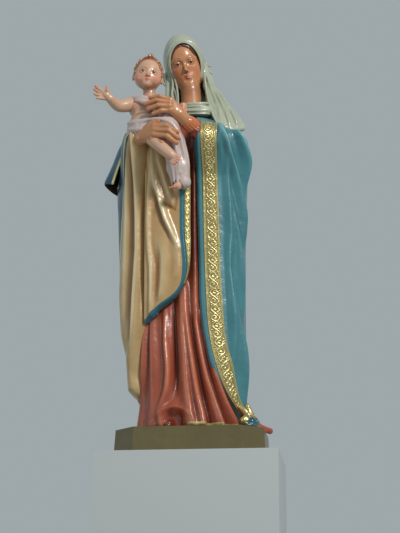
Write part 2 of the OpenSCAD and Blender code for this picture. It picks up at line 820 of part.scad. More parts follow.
module child_right_arm()
    color([0.74, 0.54, 0.43]) as_mesh() difference() {
        child_right_arm_form();
        child_arm_pins(0.2);
    }

module child_left_arm()
    color([0.74, 0.54, 0.43]) as_mesh() difference() {
        child_left_arm_form();
        left_hand_form();
        child_arm_pins(0.2);
        robe_body();
        mantle_sheet();
        left_sleeve_form();
    }

module child_neck_dowel()
    color([0.35, 0.34, 0.33]) pin([-110, -113, 962], [-110, -113, 1038], dowel_d);

module gown_form() {
    hull() {
        ellipsoid([-124, -120, 884], [47, 38, 34], $fn = 16);
        ellipsoid([-122, -118, 912], [44, 36, 26], $fn = 12);
    }
    hull() balls([[-116, -134, 884, 32], [-54, -140, 888, 30], [-70, -138, 862, 30]], 12);
    hull() balls([[-54, -140, 888, 30], [-40, -134, 840, 32], [-80, -136, 850, 30]], 12);
    hull() balls([[-40, -134, 840, 32], [-26, -132, 770, 26], [-20, -128, 722, 20],
                  [-44, -128, 770, 20]], 12);
    // shawl over the right shoulder
    limb([[-160, -122, 978, 12], [-132, -136, 972, 12], [-100, -146, 952, 12], [-70, -144, 930, 12],
          [-54, -142, 906, 14]], $fn = 10);
}

module child_gown()
    color([0.76, 0.70, 0.68]) as_mesh() difference() {
        gown_form();
        child_body_form();
        child_arm_forms();
        child_feet_form();
        right_hand_form();
        left_hand_form();
        robe_body();
        mantle_sheet();
        right_sleeve_form();
        left_sleeve_form();
        child_pins(0.2);
    }

// ---- Feet and fixings ----
module right_foot_form()
    limb([[-84, -172, 826, 14], [-56, -184, 798, 14], [-30, -188, 778, 12], [-20, -188, 768, 8]], $fn = 14);

module left_foot_form()
    limb([[-24, -132, 730, 13], [-28, -142, 712, 12], [-32, -158, 704, 9]], $fn = 14);

module child_feet_form() {
    right_foot_form();
    left_foot_form();
}

module child_right_foot()
    color([0.74, 0.50, 0.38]) as_mesh() difference() {
        right_foot_form();
        right_hand_form();
    }

module child_left_foot()
    color([0.74, 0.50, 0.38]) as_mesh() left_foot_form();

module child_pins(grow = 0) {
    pin([-86, -34, 884], [-86, -126, 884], dowel_d + grow);
    pin([-60, -34, 858], [-60, -128, 858], dowel_d + grow);
}

module child_fixing_dowels() color([0.35, 0.34, 0.33]) child_pins();

plinth();
recess_plug();
foot_screws();
foot_blocks();
armature_post();
post_nuts();
post_washers();
plaster_wads();
shoulder_bar();
robe();
shoe();
mantle();
mantle_border();
mantle_lining_drape();
lining_side_fall();
drape_border();
mantle_sleeve_fold();
mantle_hem_fold();
collar();
veil();
veil_knot();
left_sleeve();
left_cuff();
right_sleeve();
left_hand();
right_hand();
hand_dowels();
neck_dowel();
madonna_head();
madonna_hair_cap();
madonna_eyes();
child_torso();
child_gown();
child_neck_dowel();
child_head();
child_hair_cap();
child_eyes();
child_right_arm();
child_left_arm();
child_arm_dowels();
child_right_foot();
child_left_foot();
child_fixing_dowels();
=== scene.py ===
# The painted look of the standing mother and child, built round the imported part.
# Lengths inside this file are millimetres, and turn into metres when a mesh is made.
import json
import math
from itertools import product

import bpy
import numpy as np
import openvdb
from mathutils import Matrix, Vector


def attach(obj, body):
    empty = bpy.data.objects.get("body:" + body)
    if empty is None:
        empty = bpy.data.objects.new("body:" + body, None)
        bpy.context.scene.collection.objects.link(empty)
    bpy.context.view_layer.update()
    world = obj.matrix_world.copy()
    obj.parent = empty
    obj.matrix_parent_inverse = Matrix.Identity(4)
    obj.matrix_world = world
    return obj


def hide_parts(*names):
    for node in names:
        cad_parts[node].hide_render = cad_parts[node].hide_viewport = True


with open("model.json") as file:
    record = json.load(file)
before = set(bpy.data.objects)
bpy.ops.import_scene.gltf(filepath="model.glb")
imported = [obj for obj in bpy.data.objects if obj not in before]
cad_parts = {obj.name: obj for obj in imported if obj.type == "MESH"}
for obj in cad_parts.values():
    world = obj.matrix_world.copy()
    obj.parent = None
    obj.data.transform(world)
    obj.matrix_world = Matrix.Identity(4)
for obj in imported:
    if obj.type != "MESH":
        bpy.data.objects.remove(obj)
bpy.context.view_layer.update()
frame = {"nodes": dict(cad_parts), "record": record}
METRE = 0.001


# ---------------------------------------------------------------- numbers
def smooth_curve(*pairs):
    """A smooth function through (place, value) pairs."""
    xs, ys = (np.array(v, float) for v in zip(*pairs))
    slope = np.gradient(ys, xs)

    def at(x):
        x = np.clip(np.asarray(x, float), xs[0], xs[-1])
        i = np.clip(np.searchsorted(xs, x) - 1, 0, len(xs) - 2)
        h = xs[i + 1] - xs[i]
        t = (x - xs[i]) / h
        return ((1 + 2 * t) * (1 - t) ** 2 * ys[i] + t * (1 - t) ** 2 * h * slope[i]
                + t * t * (3 - 2 * t) * ys[i + 1] + t * t * (t - 1) * h * slope[i + 1])

    return at


def step(low, high, x):
    t = np.clip((np.asarray(x, float) - low) / (high - low), 0, 1)
    return t * t * (3 - 2 * t)


def bell(x):
    return np.exp(-0.5 * np.asarray(x, float) ** 2)


def signed_power(v, e):
    return np.sign(v) * np.abs(v) ** e


def value_noise(p, scale, seed=0):
    """Smooth noise from -1 to 1 at points p, with features about scale across."""
    q = np.asarray(p, float) / scale
    total = np.zeros(q.shape[0])
    draw = np.random.default_rng(seed)
    for _ in range(4):
        d = draw.normal(size=(3, 3))
        phase = draw.uniform(0, 6.28, 3)
        w = np.sin(q @ d + phase)
        total += np.sin(w.sum(1) * 1.7 + q @ draw.normal(size=3) + phase[0])
    return total / 4


# ---------------------------------------------------------------- meshes
def add_mesh(name, verts, faces, attributes=None):
    """A smooth-shaded mesh from millimetre points, with one number per point for each attribute."""
    mesh = bpy.data.meshes.new(name)
    faces = faces if isinstance(faces, list) else faces.tolist()
    mesh.from_pydata((np.asarray(verts) * METRE).tolist(), [], faces)
    mesh.validate()
    mesh.shade_smooth()
    for key, values in (attributes or {}).items():
        layer = mesh.attributes.new(key, "FLOAT", "POINT")
        layer.data.foreach_set("value", np.asarray(values, np.float32))
    obj = bpy.data.objects.new(name, mesh)
    bpy.context.scene.collection.objects.link(obj)
    return obj


def grid_faces(rows, cols, wrap=False, start=0, flip=False):
    j, i = np.meshgrid(np.arange(rows - 1), np.arange(cols if wrap else cols - 1), indexing="ij")
    nxt = (i + 1) % cols
    quad = np.stack([j * cols + i, j * cols + nxt, (j + 1) * cols + nxt, (j + 1) * cols + i], -1)
    quad = quad.reshape(-1, 4) + start
    return quad[:, ::-1] if flip else quad


def slab(name, outer, inner, attributes=None, inside=None):
    """A closed sheet between two grids of points (rows, columns, 3), the outer one facing out."""
    rows, cols = outer.shape[:2]
    n = rows * cols
    ring = np.concatenate([np.arange(cols), np.arange(1, rows) * cols + cols - 1,
                           (rows - 1) * cols + np.arange(cols - 2, -1, -1),
                           np.arange(rows - 2, 0, -1) * cols])
    after = np.roll(ring, -1)
    faces = np.concatenate([grid_faces(rows, cols), grid_faces(rows, cols, start=n, flip=True),
                            np.stack([ring, ring + n, after + n, after], -1)])
    verts = np.concatenate([outer.reshape(-1, 3), inner.reshape(-1, 3)])
    inside = inside or {}
    both = {k: np.concatenate([np.asarray(v).reshape(-1), np.asarray(inside.get(k, v)).reshape(-1)])
            for k, v in (attributes or {}).items()}
    return add_mesh(name, verts, faces, both)


def spaced(n, edge=0.0):
    """n numbers from 0 to 1, packed more closely towards both ends as edge goes to 1."""
    t = np.linspace(0, 1, n)
    return (1 - edge) * t + edge * (t - np.sin(2 * np.pi * t) / (2 * np.pi))


# ---------------------------------------------------------------- the body's outline
BODY_X = -8.0
SQUARE = 0.84
left = smooth_curve((65, 124), (105, 122), (160, 123), (230, 136), (300, 152), (370, 164), (430, 172),
                    (570, 175), (700, 178), (800, 172), (860, 150), (880, 136), (900, 118), (916, 99),
                    (932, 78), (962, 40))
right = smooth_curve((65, 139), (300, 138), (560, 139), (700, 143), (800, 147), (860, 149), (884, 147),
                     (894, 141), (902, 126), (914, 104), (932, 80), (962, 40))
front = smooth_curve((65, 112), (105, 108), (160, 103), (230, 97), (300, 91), (430, 82), (570, 76),
                     (700, 74), (860, 72), (900, 64), (932, 52), (962, 38))
back = smooth_curve((65, 90), (430, 84), (860, 80), (880, 74), (900, 66), (932, 50), (962, 36))


def outline(z, angle, off):
    """Points of the body's outline; angle runs in degrees from the front, -Y, towards +X."""
    s, c = np.sin(np.radians(angle)), np.cos(np.radians(angle))
    rx = off + np.where(s > 0, right(z), left(z))
    ry = off + np.where(c > 0, front(z), back(z))
    return np.stack(np.broadcast_arrays(BODY_X + rx * signed_power(s, SQUARE),
                                        -ry * signed_power(c, SQUARE), z), -1)


def angle_at(z, x, off):
    """The angle at which the outline reaches x on its front half."""
    side = np.where(x > BODY_X, right(z), left(z)) + off
    return np.degrees(np.arcsin(signed_power(np.clip((x - BODY_X) / side, -1, 1), 1 / SQUARE)))


def ridge(x, z, path, width, height):
    """A soft ridge of cloth. path is (z, x, share of the height) triples, from low z up."""
    zs, xs, share = zip(*path)
    middle = smooth_curve(*zip(zs, xs))(z)
    amount = smooth_curve(*zip(zs, share))(z)
    inside = step(zs[0] - 30, zs[0] + 10, z) * (1 - step(zs[-1] - 10, zs[-1] + 30, z))
    spread = width * (0.75 + 0.5 * (1 - step(zs[0], zs[-1], z)))
    return height * amount * inside * bell((x - middle) / spread)


# ---------------------------------------------------------------- paint
def node(tree, kind, **inputs):
    n = tree.nodes.new(kind)
    for key, value in inputs.items():
        if key in n.bl_rna.properties:
            setattr(n, key, value)
        else:
            n.inputs[key.replace("_", " ")].default_value = value
    return n


def paint(name, base, dark, rough=0.28, coat=0.5, bump=0.08, metallic=0.0, masks=(), wear=0.25, uneven=42.0,
          dents=0.0028):
    """Glossy enamel: base mottled towards dark in broad patches, with painted shade darkening its crevices.
    masks lays further colours on, each (attribute, low, high, colour, roughness, metallic), fading in between
    the limits."""
    mat = bpy.data.materials.new(name)
    mat.use_nodes = True
    tree = mat.node_tree
    link = tree.links.new
    shader = tree.nodes["Principled BSDF"]
    shader.inputs["Coat Weight"].default_value = coat
    shader.inputs["Coat Roughness"].default_value = 0.16
    place = node(tree, "ShaderNodeTexCoord")
    cloud = node(tree, "ShaderNodeTexNoise", Scale=9.0, Detail=5.0, Roughness=0.6)
    fine = node(tree, "ShaderNodeTexNoise", Scale=260.0, Detail=3.0, Roughness=0.55)
    link(place.outputs["Object"], cloud.inputs["Vector"])
    link(place.outputs["Object"], fine.inputs["Vector"])
    mottle = node(tree, "ShaderNodeMapRange", From_Min=0.35, From_Max=0.75, To_Min=0.0, To_Max=wear)
    link(cloud.outputs["Fac"], mottle.inputs["Value"])

    def mixed(first, second, factor, kind="RGBA"):
        m = node(tree, "ShaderNodeMix", data_type=kind)
        a, b, out = (6, 7, 2) if kind == "RGBA" else (2, 3, 0)
        for socket, value in ((m.inputs[a], first), (m.inputs[b], second)):
            if isinstance(value, (int, float)):
                socket.default_value = value
            elif isinstance(value, (list, tuple)):
                socket.default_value = (*value, 1)
            else:
                link(value, socket)
        link(factor, m.inputs[0])
        return m.outputs[out]

    colour = mixed(base, dark, mottle.outputs["Result"])
    gloss = node(tree, "ShaderNodeMapRange", From_Min=0.3, From_Max=0.7, To_Min=rough * 0.76,
                 To_Max=rough * 1.24)
    link(fine.outputs["Fac"], gloss.inputs["Value"])
    roughness = gloss.outputs["Result"]
    metal = metallic
    for attribute, low, high, shade, mask_rough, mask_metal in masks:
        read = node(tree, "ShaderNodeAttribute", attribute_name=attribute)
        span = node(tree, "ShaderNodeMapRange", From_Min=low, From_Max=high)
        link(read.outputs["Fac"], span.inputs["Value"])
        factor = span.outputs["Result"]
        colour = mixed(colour, shade, factor)
        roughness = mixed(roughness, mask_rough, factor, "FLOAT")
        if mask_metal or not isinstance(metal, (int, float)) or metal:
            metal = mixed(metal, mask_metal, factor, "FLOAT")
    # Painted shade: the colour goes nearly black where the surface curves inwards, in creases and crevices.
    crease = node(tree, "ShaderNodeNewGeometry")
    hollow = node(tree, "ShaderNodeMapRange", From_Min=0.40, From_Max=0.50, To_Min=0.55, To_Max=0.0)
    link(crease.outputs["Pointiness"], hollow.inputs["Value"])
    crevice_shade = mixed(colour, [0.05, 0.04, 0.03], hollow.outputs["Result"])
    link(crevice_shade, shader.inputs["Base Color"])
    link(roughness, shader.inputs["Roughness"])
    if isinstance(metal, (int, float)):
        shader.inputs["Metallic"].default_value = metal
    else:
        link(metal, shader.inputs["Metallic"])
    waves = node(tree, "ShaderNodeTexNoise", Scale=uneven, Detail=3.0, Roughness=0.5)
    link(place.outputs["Object"], waves.inputs["Vector"])
    broad = node(tree, "ShaderNodeBump", Strength=0.6, Distance=dents)
    link(waves.outputs["Fac"], broad.inputs["Height"])
    brush = node(tree, "ShaderNodeBump", Strength=bump, Distance=0.001)
    link(fine.outputs["Fac"], brush.inputs["Height"])
    link(broad.outputs["Normal"], brush.inputs["Normal"])
    link(brush.outputs["Normal"], shader.inputs["Normal"])
    link(brush.outputs["Normal"], shader.inputs["Coat Normal"])
    return mat


def srgb(r, g, b):
    """Linear colour from display values of 0 to 255."""
    return [((v / 255 + 0.055) / 1.055) ** 2.4 if v > 10 else v / 255 / 12.92 for v in (r, g, b)]


BLUE = srgb(70, 134, 143)
BLUE_DARK = srgb(44, 96, 109)
# BLUE_SHADE is the mantle blue darkened as painted shade, for parts on the left that the key light leaves in
# shade.
BLUE_SHADE = srgb(32, 78, 98)
CREAM = srgb(206, 178, 128)
CREAM_DARK = srgb(160, 118, 66)
RED = srgb(172, 84, 56)
RED_DARK = srgb(112, 44, 28)
GOLD = srgb(224, 206, 142)
GOLD_DARK = srgb(96, 86, 48)
FLESH = srgb(196, 136, 92)
CHILD_FLESH = srgb(212, 170, 142)
VEIL = srgb(178, 184, 164)
GOWN = srgb(206, 188, 182)
CHILD_HAIR = srgb(188, 126, 82)

GILT = (GOLD, 0.3, 0.6)
# The mantle's fold ridges take a pale blue painted highlight and its hollows a dark blue painted shade.
mantle_paint = paint("mantle enamel", BLUE, BLUE_DARK, rough=0.34, coat=0.35, wear=0.5, masks=[
    ("painted_highlight", 0.0, 1.0, srgb(122, 178, 182), 0.3, 0), ("painted_shade", 0.0, 1.0, srgb(24, 68, 84), 0.4, 0)])
# The left corner of the mantle is painted a darker blue than the rest, as painted shade.
mantle_edge_paint = paint("mantle enamel with gilt line", srgb(40, 94, 114), BLUE_SHADE, rough=0.34,
                          coat=0.35, wear=0.5,
                          # Painted shade: the inside face of the fold is painted dark brown.
                          masks=[("lining", 0.4, 0.6, srgb(66, 48, 30), 0.45, 0),
                                 ("gilt", 0.45, 0.55, *GILT)])
# The robe's fold ridges take a pale orange painted highlight and its hollows a dark red painted shade.
robe_paint = paint("robe enamel", RED, RED_DARK, rough=0.36, coat=0.3, wear=0.4, masks=[
    ("painted_highlight", 0.0, 1.0, srgb(204, 118, 84), 0.34, 0), ("painted_shade", 0.0, 1.0, srgb(92, 32, 20), 0.4, 0),
    ("gilt", 0.45, 0.55, *GILT)])


def lining(name, edge):
    """Cream gold enamel: orange-brown in random patches and as painted shade where the cloth sinks back, with
    painted highlight on its ridges, painted shade in its hollows, and a painted edge.
    """
    return paint(name, CREAM, CREAM_DARK, rough=0.34, coat=0.35, wear=0.5, masks=[
        ("gold_patches_and_shade", 0.0, 1.0, srgb(180, 130, 72), 0.3, 0.1),
        ("painted_highlight", 0.0, 1.0, srgb(238, 222, 182), 0.3, 0),
        ("painted_shade", 0.0, 1.0, srgb(136, 82, 38), 0.4, 0), ("blue", 0.4, 0.6, edge, 0.3, 0),
        ("gilt", 0.45, 0.55, *GILT)])


# The front panel's blue edge is painted darker than the mantle blue, as painted shade.
lining_paint = lining("lining enamel", srgb(52, 108, 122))
# The side fall's blue edge is painted in that darker blue, as painted shade.
fall_paint = lining("side fall enamel", BLUE_SHADE)
# The sunk ground between the raised scrolls is painted a darker, duller gold, as painted shade in its
# recesses.
gold_paint = paint("gilt relief", GOLD, GOLD_DARK, rough=0.3, coat=0.3, metallic=0.7, wear=0.3,
                   masks=[("low", 0.35, 0.85, srgb(150, 138, 86), 0.42, 0.45)])
plinth_paint = paint("plinth enamel", srgb(112, 100, 62), srgb(80, 70, 44), rough=0.38, coat=0.2, wear=0.5)


def tones(off, reach):
    """Painted highlight on the ridges and painted shade in the hollows, from the rise of the cloth along each
    row.
    """
    weights = np.hanning(2 * reach + 1)
    weights /= weights.sum()
    wide = np.pad(off, ((0, 0), (reach, reach)), mode="edge")
    mean = np.apply_along_axis(lambda row: np.convolve(row, weights, mode="valid"), 1, wide)
    rise = off - mean
    return {"painted_highlight": 0.75 * step(0.8, 6.0, rise), "painted_shade": 0.85 * step(0.5, 6.5, -rise)}


# ---------------------------------------------------------------- robe
ROBE_LOW, ROBE_TOP = 65.2, 962
HEM_TOP = 78
SHOE_X = -38.0
# Each fold is a path of (z, x, share of the height), a width and a height; a negative share is a hollow.
ROBE_FOLDS = [
    ([(66, -125, 1), (130, -124, 1), (205, -122, 1), (340, -120, 0.7), (420, -118, 0)], 7, 13),
    ([(66, -98, 0.9), (150, -96, 1), (240, -97, 1), (340, -103, 0.8), (430, -106, 0)], 9, 10),
    ([(66, -66, 0.6), (120, -70, 0.9), (165, -58, 1), (205, -55, 1), (300, -64, 0.8), (420, -72, 0)], 7, 12),
    ([(66, 14, 1), (150, -2, 1), (240, -10, 1), (350, -20, 0.9), (500, -26, 0.4)], 10, 15),
    ([(66, 36, 1), (92, 34, 1), (164, 19, 1), (240, 8, 1), (350, -6, 0.9), (450, -12, 0.6)], 8, 15),
    ([(66, 80, 1), (136, 62, 1), (200, 42, 1), (260, 30, 1), (350, 18, 0.8), (520, 12, 0.6),
      (900, 10, 0.6)], 7.5, 15),
    ([(66, 116, 1), (150, 84, 1), (218, 62, 1), (295, 44, 0.8), (380, 34, 0.5)], 7, 13),
    ([(66, -110, -1), (200, -110, -1), (340, -112, -0.7)], 4, 6),
    ([(120, -38, 0.2), (200, -36, -1), (300, -40, -1), (400, -46, -0.6)], 6, 9),
    ([(66, 24, -1), (164, 8, -1), (350, -13, -0.6)], 4, 6),
    ([(66, 57, -1), (144, 40, -1), (274, 16, -1), (351, 4, -0.6)], 5, 9),
    ([(66, 98, -1), (150, 72, -1), (218, 52, -1), (350, 26, -0.6)], 5, 9),
]


def robe_off(x, z):
    off = -3.0 - 4 * step(140, 430, z)
    total = 1.25 * sum(ridge(x, z, *fold) for fold in ROBE_FOLDS)
    brow = 120 - 0.012 * (x - SHOE_X) ** 2
    arch = 9 * bell((x - SHOE_X) / 26) * bell((z - brow) / 7)
    hollow = 15 * (1 - step(14, 34, np.abs(x - SHOE_X))) * (1 - step(-26, 2, z - brow))
    flare = 6 * (1 - step(66, 150, z))
    return off + total + arch - hollow + flare


def build_robe():
    angles = np.concatenate([np.linspace(-100, 100, 560), np.linspace(100, 260, 60)[1:-1]])
    z = np.concatenate([np.linspace(ROBE_LOW, HEM_TOP, 8)[:-1], np.linspace(HEM_TOP, 940, 420),
                        np.linspace(940, ROBE_TOP, 8)[1:]])
    a, zz = np.meshgrid(angles, z)
    x = outline(zz, a, 0)[..., 0]
    ahead = np.clip(np.cos(np.radians(a)) * 3, 0, 1)
    off = robe_off(x, zz) * ahead - 3 * (1 - ahead)
    hem = np.clip((HEM_TOP - zz) / 12.8, 0, 1)
    off = off - 5 * (1 - np.sqrt(np.clip(1 - hem ** 2, 0, 1)))
    pts = outline(zz, a, off)
    rows, cols = a.shape
    faces = grid_faces(rows, cols, wrap=True)
    middle = [[BODY_X, 0, ROBE_LOW], [BODY_X, 0, ROBE_TOP]]
    n = rows * cols
    ring = np.arange(cols)
    nxt = np.roll(ring, -1)
    caps = [[n, int(b), int(a0)] for a0, b in zip(ring, nxt)]
    caps += [[n + 1, int(a0 + n - cols), int(b + n - cols)] for a0, b in zip(ring, nxt)]
    gilt = (bell((zz - 73) / 3.2) * step(-6, 2, x) * (1 - step(112, 116, x))).reshape(-1)
    # Painted highlight on the robe's fold ridges and painted shade in its hollows, with a band of painted
    # shadow down the gap between the front panel and the mantle.
    tone = tones(off, 26)
    shadow = 0.8 * bell((x - 12) / 16) * step(400, 560, zz) * ahead
    tone = {"painted_highlight": tone["painted_highlight"] * (1 - shadow), "painted_shade": np.maximum(tone["painted_shade"], shadow)}
    obj = add_mesh("robe_cloth", np.concatenate([pts.reshape(-1, 3), middle]), faces.tolist() + caps,
                   {"gilt": np.concatenate([gilt, [0, 0]]),
                    **{k: np.concatenate([v.reshape(-1), [0, 0]]) for k, v in tone.items()}})
    obj.data.materials.append(robe_paint)
    return obj


# ---------------------------------------------------------------- mantle
MANTLE_T = 15.0
MANTLE_LOW, MANTLE_TOP = 66, 934
# Where the covered left forearm pushes the mantle forward: height, half height, half angle, depth.
ARM_Z, ARM_HALF, ARM_ANGLE, ARM_DEPTH = 874, 120, 84, 50
edge_x = smooth_curve((66, 136), (76, 132), (106, 128), (144, 106), (182, 84), (228, 61), (290, 46),
                      (352, 35), (414, 29), (493, 27), (586, 24), (693, 20), (800, 17), (932, 15))
band_left = smooth_curve((66, 146), (109, 129), (136, 112), (174, 92), (227, 73), (288, 58), (350, 49),
                         (412, 45), (491, 41), (584, 38), (690, 36), (798, 34), (932, 33))
band_right = smooth_curve((66, 160), (109, 141), (143, 130), (196, 120), (226, 114), (287, 100), (349, 92),
                          (411, 88), (470, 84), (618, 80), (725, 76), (887, 74), (932, 72))
MANTLE_FOLDS = [
    ([(500, 96, 0), (560, 97, 0.8), (700, 92, 1), (820, 86, 1), (900, 80, 0.5)], 5, 6),
    ([(66, 132, 0.6), (150, 128, 1), (260, 120, 0.8), (340, 112, 0)], 5, 5),
    ([(300, 131, 0), (380, 136, 0.8), (470, 139, 1), (560, 130, 0.7), (640, 121, 0)], 5, 6),
    ([(640, 128, 0), (700, 124, -0.7), (800, 112, -0.8), (880, 96, -0.3)], 5, 6),
    ([(560, 142, 0.4), (571, 139, 0.7), (642, 128, 1), (732, 115, 1), (797, 99, 1), (867, 80, 0.9),
      (905, 72, 0.5)], 6, 13),
    ([(600, 150, 0.2), (640, 147, 0.8), (738, 139, 1), (810, 131, 1), (873, 118, 0.8),
      (900, 108, 0.4)], 5.5, 11),
    ([(350, 118, 0), (420, 128, 0.8), (500, 120, 1), (596, 112, 0.8), (700, 100, 0.3)], 5, 9),
    ([(90, 138, 0.6), (250, 121, 1), (300, 118, 1), (355, 110, 0.7), (460, 104, 0.2)], 5.5, 11),
    ([(760, 82, 0), (820, 76, 0.8), (890, 70, 0.8), (925, 66, 0.3)], 4.5, 8),
    ([(700, 142, 0), (760, 136, 0.8), (850, 122, 0.9), (896, 110, 0.6)], 4.5, 8),
    ([(200, 104, 0), (300, 103, 0.9), (420, 97, 1), (520, 92, 0.6), (600, 90, 0)], 4.5, 8),
]
# Folds round the side and back: angle, width in degrees, height, phase of the sway.
SIDE_FOLDS = [(120, 4, 7, 0.7), (137, 4.5, 8, 1.1), (152, 4, 10, 2.0), (171, 5, 9, 2.9), (192, 4, 11, 3.7),
              (213, 5, 9, 4.4), (232, 4.5, 10, 5.1), (251, 4, 7, 6.0)]


def arm_bulge(z, a):
    reach = np.clip(1 - np.abs((z - ARM_Z) / ARM_HALF), 0, 1)
    across = np.clip(1 - np.abs(a / ARM_ANGLE), 0, 1)
    return ARM_DEPTH * step(0, 1, reach) * step(0, 1, across)


def mantle_off(x, z, a):
    off = np.full_like(x, MANTLE_T)
    for fold in MANTLE_FOLDS:
        off = off + 1.55 * ridge(x, z, *fold) * (1 - step(66, 84, a))
    for middle, width, height, phase in SIDE_FOLDS:
        sway = 3.0 * np.sin(z / 130 + phase)
        drop = 1.5 * height * (0.4 + 0.6 * (1 - step(500, 930, z))) * (1 - step(244, 256, a))
        off = off + drop * bell((a - middle - sway) / width)
    return off - 3


def rounded(distance, radius):
    """Share of a layer's thickness at that distance from its edge, for a rolled edge."""
    t = np.clip(distance / radius, 0, 1)
    return np.sqrt(np.clip(1 - (1 - t) ** 2, 0, 1))


def build_mantle():
    z = MANTLE_LOW + (MANTLE_TOP - MANTLE_LOW) * spaced(430, 0.2)
    u = np.concatenate([np.linspace(0, 0.03, 12)[:-1], np.linspace(0.03, 0.40, 190)[:-1],
                        np.linspace(0.40, 0.985, 170),
                        np.linspace(0.985, 1, 8)[1:]])
    uu, zz = np.meshgrid(u, z)
    start = angle_at(zz, edge_x(zz), MANTLE_T)
    end = smooth_curve((66, 246), (170, 252), (269, 260), (500, 261), (860, 262), (900, 274), (932, 290))(zz)
    a = start + (end - start) * uu
    x = outline(zz, a, 0)[..., 0]
    off = mantle_off(x, zz, a)
    across = np.radians(a - start) * 145
    far = np.radians(end - a) * 145
    off = off * rounded(across, 9) * rounded(far, 9) * (0.25 + 0.75 * rounded(MANTLE_TOP - zz, 12))
    outer = outline(zz, a, off + 1)
    outer[..., 1] -= arm_bulge(zz, a) * rounded(across + 1, 12)
    inner = outline(zz, a, np.full_like(off, -6.0))
    inner[..., 1] -= 0.75 * arm_bulge(zz, a)
    # Painted highlight on the ridges and painted shade in the hollows of the mantle's folds, faded out near
    # its front edge.
    marks = {k: v * step(4, 14, across) for k, v in tones(off, 14).items()}
    obj = slab("mantle_cloth", outer, inner, marks)
    obj.data.materials.append(mantle_paint)
    return obj


# ---------------------------------------------------------------- gilt scroll relief
def scroll_relief(period, width, resolution=0.5):
    """One repeat of a running scroll, as a height field from 0 to 1 over (along, across)."""
    along = np.arange(0, period, resolution)
    across = np.arange(0, width, resolution)
    s, t = np.meshgrid(along, across, indexing="ij")
    half = width / 2
    strokes = []
    wave = np.linspace(-0.25, 1.25, 90)
    strokes.append((np.stack([wave * period, half + 0.24 * width * np.sin(2 * np.pi * wave)], 1), 1.5))
    for side, centre in ((1, 0.25), (-1, 0.75)):
        turn = np.linspace(0, 2.6 * np.pi, 80)
        radius = 0.27 * width * (1 - turn / (3.1 * np.pi))
        cx, cy = centre * period, half - side * 0.05 * width
        spiral = np.stack([cx + radius * np.cos(turn * side + np.pi / 2 * side),
                           cy + radius * np.sin(turn * side + np.pi / 2 * side)], 1)
        strokes.append((spiral, 1.3))
        for k in range(5):
            lean = side * (0.6 + 0.55 * k)
            leaf = np.linspace(0, 1, 12)[:, None]
            root = spiral[6 + 9 * k]
            tip = root + 0.17 * width * np.array([math.cos(lean + k), side * math.sin(lean)])
            strokes.append((root + (tip - root) * leaf, 1.2))
    height = np.zeros_like(s)
    for path, thick in strokes:
        for shift in (-period, 0, period):
            near = np.full_like(s, 1e9)
            for q in path:
                near = np.minimum(near, (s - q[0] - shift) ** 2 + (t - q[1]) ** 2)
            height = np.maximum(height, np.sqrt(np.clip(1 - near / (thick * 1.5) ** 2, 0, 1)))
    for cx, cy in ((0.25, 0.5), (0.75, 0.5), (0.0, 0.8), (0.5, 0.2), (0.0, 0.3), (0.5, 0.7)):
        for shift in (-period, 0, period):
            near = np.sqrt((s - cx * period - shift) ** 2 + (t - cy * width) ** 2)
            height = np.maximum(height, np.sqrt(np.clip(1 - (near / (0.07 * width)) ** 2, 0, 1)))
    return height


def relief_at(field, period, width, s, t, resolution=0.5):
    i = np.mod(s, period) / resolution
    j = np.clip(t, 0, width - resolution) / resolution
    i0, j0 = np.floor(i).astype(int), np.floor(j).astype(int)
    i1, j1 = (i0 + 1) % field.shape[0], np.minimum(j0 + 1, field.shape[1] - 1)
    i0 = i0 % field.shape[0]
    fi, fj = i - np.floor(i), j - np.floor(j)
    return ((field[i0, j0] * (1 - fj) + field[i0, j1] * fj) * (1 - fi)
            + (field[i1, j0] * (1 - fj) + field[i1, j1] * fj) * fi)


def build_mantle_band():
    period, width = 46.0, 40.0
    low, top = 96, 912
    field = scroll_relief(period, width)
    z = np.linspace(low, top, 1160)
    t = np.linspace(0, 1, 66)
    tt, zz = np.meshgrid(t, z)
    x = band_left(zz) + (band_right(zz) - band_left(zz)) * tt
    a = angle_at(zz, x, MANTLE_T)
    off = mantle_off(outline(zz, a, 0)[..., 0], zz, a)
    mid_angle = angle_at(z, (band_left(z) + band_right(z)) / 2, MANTLE_T)
    mid = outline(z, mid_angle, MANTLE_T)
    mid[:, 1] -= arm_bulge(z, mid_angle)
    run = np.concatenate([[0], np.cumsum(np.linalg.norm(np.diff(mid, axis=0), axis=1))])
    s = np.repeat(run[:, None], len(t), 1)
    from_edge = np.minimum(tt, 1 - tt) * width
    rail = np.maximum(bell((from_edge - 1.6) / 0.8), 0.7 * bell((from_edge - 4.2) / 0.6))
    inside = step(5.0, 6.4, from_edge)
    height = np.maximum(rail, relief_at(field, period, width, s, tt * width) * inside)
    lift = 1.6 + 2.2 * height
    end = np.minimum(zz - low, top - zz)
    lift = lift * rounded(from_edge + 0.4, 2.0) * rounded(end + 0.2, 2.0)
    outer = outline(zz, a, off + 1 + lift)
    outer[..., 1] -= arm_bulge(zz, a)
    inner = outline(zz, a, off - 2)
    inner[..., 1] -= arm_bulge(zz, a)
    obj = slab("mantle_gilt_band", outer, inner, {"low": 1 - height})
    obj.data.materials.append(gold_paint)
    return obj


# ---------------------------------------------------------------- lining: front panel and side fall
def to_path(x, z, path):
    """Distance from each (x, z) to a path of (x, z) points, and the nearest place as a share of the path."""
    best = np.full(np.shape(x), 1e9)
    place = np.zeros(np.shape(x))
    count = len(path) - 1
    for i, ((x0, z0), (x1, z1)) in enumerate(zip(path, path[1:])):
        dx, dz = x1 - x0, z1 - z0
        t = np.clip(((x - x0) * dx + (z - z0) * dz) / (dx * dx + dz * dz), 0, 1)
        d = np.hypot(x - x0 - t * dx, z - z0 - t * dz)
        nearer = d < best
        best = np.where(nearer, d, best)
        place = np.where(nearer, (i + t) / count, place)
    return best, place


